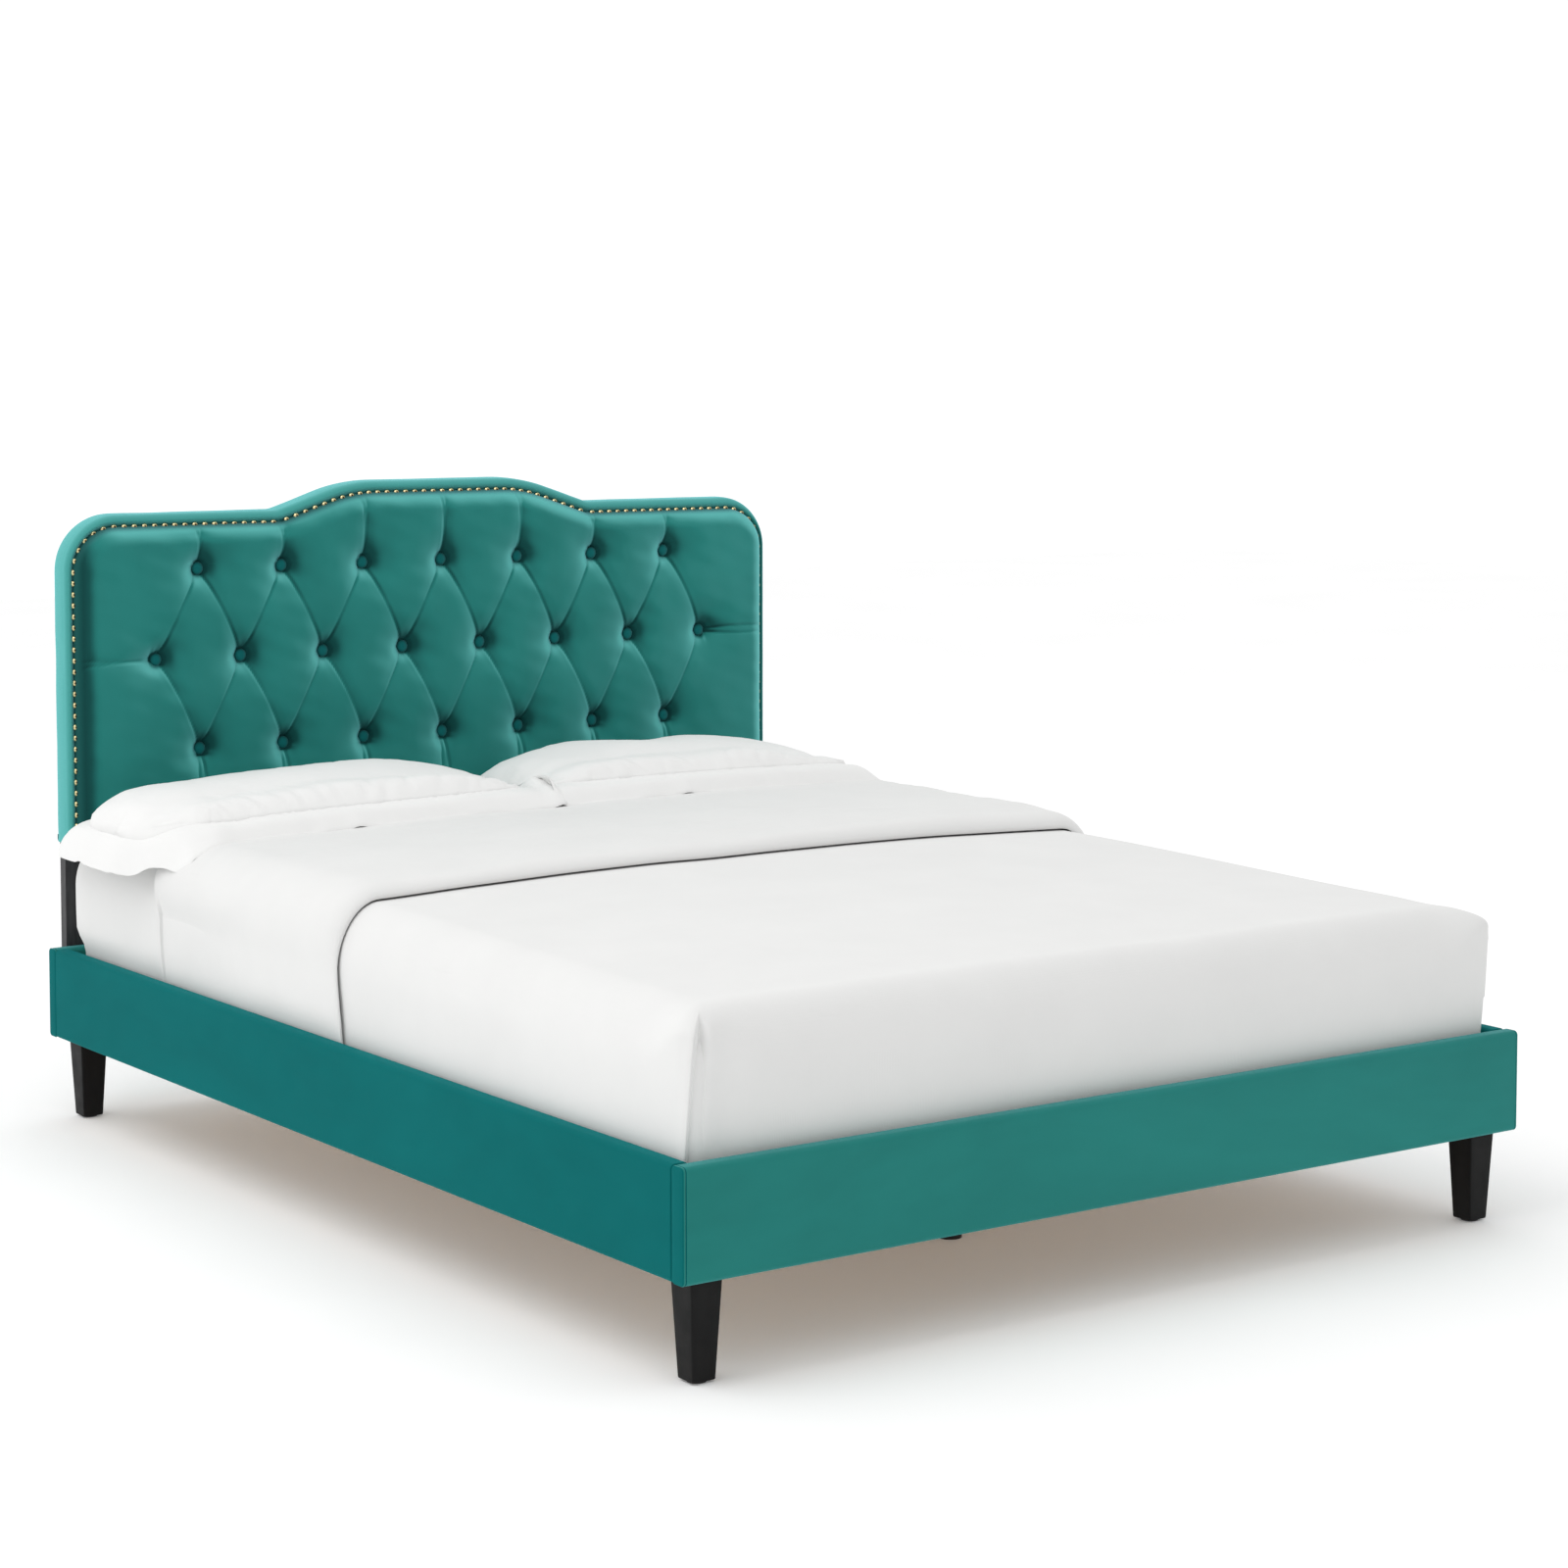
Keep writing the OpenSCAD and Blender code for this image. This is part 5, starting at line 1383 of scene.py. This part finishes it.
def pillow(name, node, centre, turn, width, depth, seed, inner, droop):
    """Stuffed pillow with a stitched, slightly ruffled flange, laid over the bed and bent to it."""
    body, faces = pillow_body(width - 2 * FLANGE, depth - 2 * FLANGE)
    place = body[:, :2]
    reach = np.maximum(np.abs(place[:, 0]) / (width / 2 - FLANGE), np.abs(place[:, 1]) / (depth / 2 - FLANGE))
    pucker_wave = ripple(place, 0.045, seed + 3) * 0.0018 * bell((reach - 1) / 0.16)
    dents = ripple(place, 0.22, seed + 4) * 0.0035 * smoothstep((1 - reach) / 0.3)
    body[:, 2] += np.sign(body[:, 2]) * pucker_wave + dents * (body[:, 2] > 0)
    shell = Shell()
    shell.add(body, faces)
    shell.grid(flange_grid(width, depth, seed, inner), wrap=True)
    piece = shell.piece(name, PILLOW_LINEN, node, "bed_linen", weld=1e-7)
    points = tuck_inner_flange(vertex_places(piece), inner, width / 2 - FLANGE, depth)
    if inner > 0:
        points = hang_outer_end(points, -inner, width / 2 - FLANGE)
    points = lay_down(points, centre, turn, droop)
    piece.data.vertices.foreach_set("co", points.ravel())
    piece.data.update()
    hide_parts(node)
    return piece


def flange_grid(width, depth, seed, side_pressed):
    """Closed thin ring of cloth round the body: an upper and a lower skin joined at the outer edge."""
    count = 420
    t = np.linspace(0, 2 * pi, count, endpoint=False)
    ca, sa = np.cos(t), np.sin(t)
    square = np.maximum(np.abs(ca), np.abs(sa))
    a, b = ca / square, sa / square
    scale = 1 / superellipse_radius(a, b, 5.0)
    scale_out = 1 / superellipse_radius(a, b, np.where(a * side_pressed > 0, 30.0, 11.0))
    inner = np.stack([a * scale * (width / 2 - FLANGE), b * scale * (depth / 2 - FLANGE)], -1)
    outer = np.stack([a * scale_out * width / 2, b * scale_out * depth / 2], -1)
    ring_place = np.stack([np.cos(t) * width, np.sin(t) * depth], -1)
    ruffle = ripple(ring_place, 0.17, seed + 7) * 0.0040 + ripple(ring_place, 0.07, seed + 8) * 0.0010
    rows = []
    shares = np.concatenate([[-0.12, -0.04, 0.03], np.linspace(0.1, 1, 11)])
    for side in (1, -1):
        layer = []
        for s in shares:
            plan = inner + (outer - inner) * s
            half = 0.0012 + 0.0016 * bell((s - 0.86) / 0.10) + 0.004 * bell((s + 0.12) / 0.10)
            if s > 0.995:
                half = 0.0006
            z = side * half + (ruffle - FLANGE_DROP * smoothstep(s)) * np.clip(s, 0, 1) ** 1.2
            layer.append(np.column_stack([plan, z]))
        rows.append(np.array(layer))
    return np.concatenate([rows[0], rows[1][::-1]])


def support_height(x, y):
    """Surface that the pillows lie on, eased where they bridge its steps and edges."""
    over_band = smoothstep((0.665 - y) / 0.09)
    across = np.clip(1 - (np.abs(x) / TOP_X) ** 2.2, 0, 1)
    level = EDGE_Z + 0.0015 + HEAD_RISE + CROWN * across
    level = level + BAND_RISE * fullness(x) * over_band - 0.006 * (1 - over_band)
    past = np.maximum(np.abs(x) - 0.70, 0)
    return level - 0.020 * (past / 0.12) ** 1.6


def tuck_inner_flange(points, sign, end, depth):
    """Turns the flange up where this pillow is pushed against the other one."""
    past = np.maximum(sign * points[:, 0] - end, 0)
    share = smoothstep((points[:, 1] / (depth / 2) + 0.98) / 0.22)
    points = points.copy()
    front = smoothstep((0.120 - points[:, 1] - depth / 2) / 0.060) * (sign > 0)
    points[:, 0] -= sign * past * (0.67 - 0.55 * front)
    points[:, 2] += past * 1.35 * share * (1 - 0.6 * front)
    points[:, 2] += 0.006 * front * smoothstep(past / 0.02)
    return points


def hang_outer_end(points, sign, end):
    """The stiff end of the pillow stands clear of the bed's edge and its flange hangs from it."""
    past = np.maximum(sign * points[:, 0] - end, 0)
    points = points.copy()
    points[:, 0] -= sign * past * 0.5
    points[:, 2] += 0.022 * smoothstep((sign * points[:, 0] - 0.22) / 0.17) - past * 0.45
    outer = smoothstep((sign * points[:, 0] - 0.20) / 0.22)
    points[:, 0] -= sign * 0.060 * outer * smoothstep((-points[:, 1] - 0.02) / 0.19)
    return points


def lay_down(points, centre, turn, droop):
    """Places local pillow points on the bed: the underside follows the bed and the flange sinks on to it."""
    c, s = cos(turn), sin(turn)
    x = centre[0] + points[:, 0] * c - points[:, 1] * s
    y = centre[1] + points[:, 0] * s + points[:, 1] * c
    ground = support_height(x, y)
    z = ground + SEAM_LIFT + points[:, 2]
    floor = ground + 0.0015
    under = floor + 0.0012 * np.tanh((z - floor) / 0.01)
    z = np.where(z < floor + 0.004, np.maximum(z, under), z)
    for dx, dy, fall, width in droop:
        z = z - fall * np.exp(-(((x - dx) / width) ** 2 + ((y - dy) / width) ** 2))
    return np.stack([x, y, z], -1)


def make_pillows():
    pillow("pillow_left_case", "pillow_left", (-0.440, 0.738), radians(-0.8), 0.868, 0.462, 200, 1,
           ((-0.82, 0.52, 0.040, 0.10),))
    pillow("pillow_right_case", "pillow_right", (0.3490, 0.742), radians(0.8), 0.829, 0.462, 300, -1,
           ((0.79, 0.53, 0.008, 0.09),))


# ---------------------------------------------------------------- studio

WORLD_LEVEL = 0.885
WORLD_TILT = (-0.01, 0.25, 0.06)


def make_floor():
    shell = Shell()
    size = 14.0
    shell.add([(-size, -size, 0), (size, -size, 0), (size, size, 0), (-size, size, 0)], [[0, 1, 2, 3]])
    mesh = bpy.data.meshes.new("floor")
    mesh.from_pydata(np.concatenate(shell.points).tolist(), [], shell.faces)
    mesh.materials.append(floor_finish())
    floor = bpy.data.objects.new("floor", mesh)
    SCENE.collection.objects.link(floor)


def area_light(name, at, look, size, power, colour=(1, 1, 1)):
    data = bpy.data.lights.new(name, "AREA")
    data.shape = "RECTANGLE"
    data.size, data.size_y = size
    data.energy = power
    data.color = colour
    light = bpy.data.objects.new(name, data)
    light.location = at
    light.rotation_euler = (Vector(look) - Vector(at)).to_track_quat("-Z", "Y").to_euler()
    SCENE.collection.objects.link(light)


def make_lights():
    """A pale cyclorama, brighter behind the bed and on its left, and one large soft box high on the left."""
    world = bpy.data.worlds.new("studio")
    world.use_nodes = True
    tree = world.node_tree
    direction = tree.nodes.new("ShaderNodeTexCoord").outputs["Generated"]
    tilt = tree.nodes.new("ShaderNodeVectorMath")
    tilt.operation = "DOT_PRODUCT"
    tilt.inputs[1].default_value = WORLD_TILT
    tree.links.new(direction, tilt.inputs[0])
    level = tree.nodes.new("ShaderNodeMath")
    level.operation = "ADD"
    level.inputs[1].default_value = WORLD_LEVEL
    tree.links.new(tilt.outputs["Value"], level.inputs[0])
    background = tree.nodes["Background"]
    background.inputs["Color"].default_value = (1, 1, 1, 1)
    tree.links.new(level.outputs[0], background.inputs["Strength"])
    SCENE.world = world
    area_light("key", (-3.0, -0.6, 4.6), (0, 0, 0.5), (3.2, 3.2), 54)
    SCENE.view_settings.view_transform = "Standard"
    SCENE.view_settings.look = "None"


# ---------------------------------------------------------------- build

make_camera()
finish_cad_nodes()
headboard_upholstery()
covered_buttons()
nailhead_trim()
dust_cloth()
staples()
side_rail(-1, "side_rail_left")
side_rail(1, "side_rail_right")
end_rail("foot_rail", -1)
end_rail("head_rail", 1)
corner_legs()
mattress_block()
fitted_sheet()
duvet()
make_pillows()
make_floor()
make_lights()
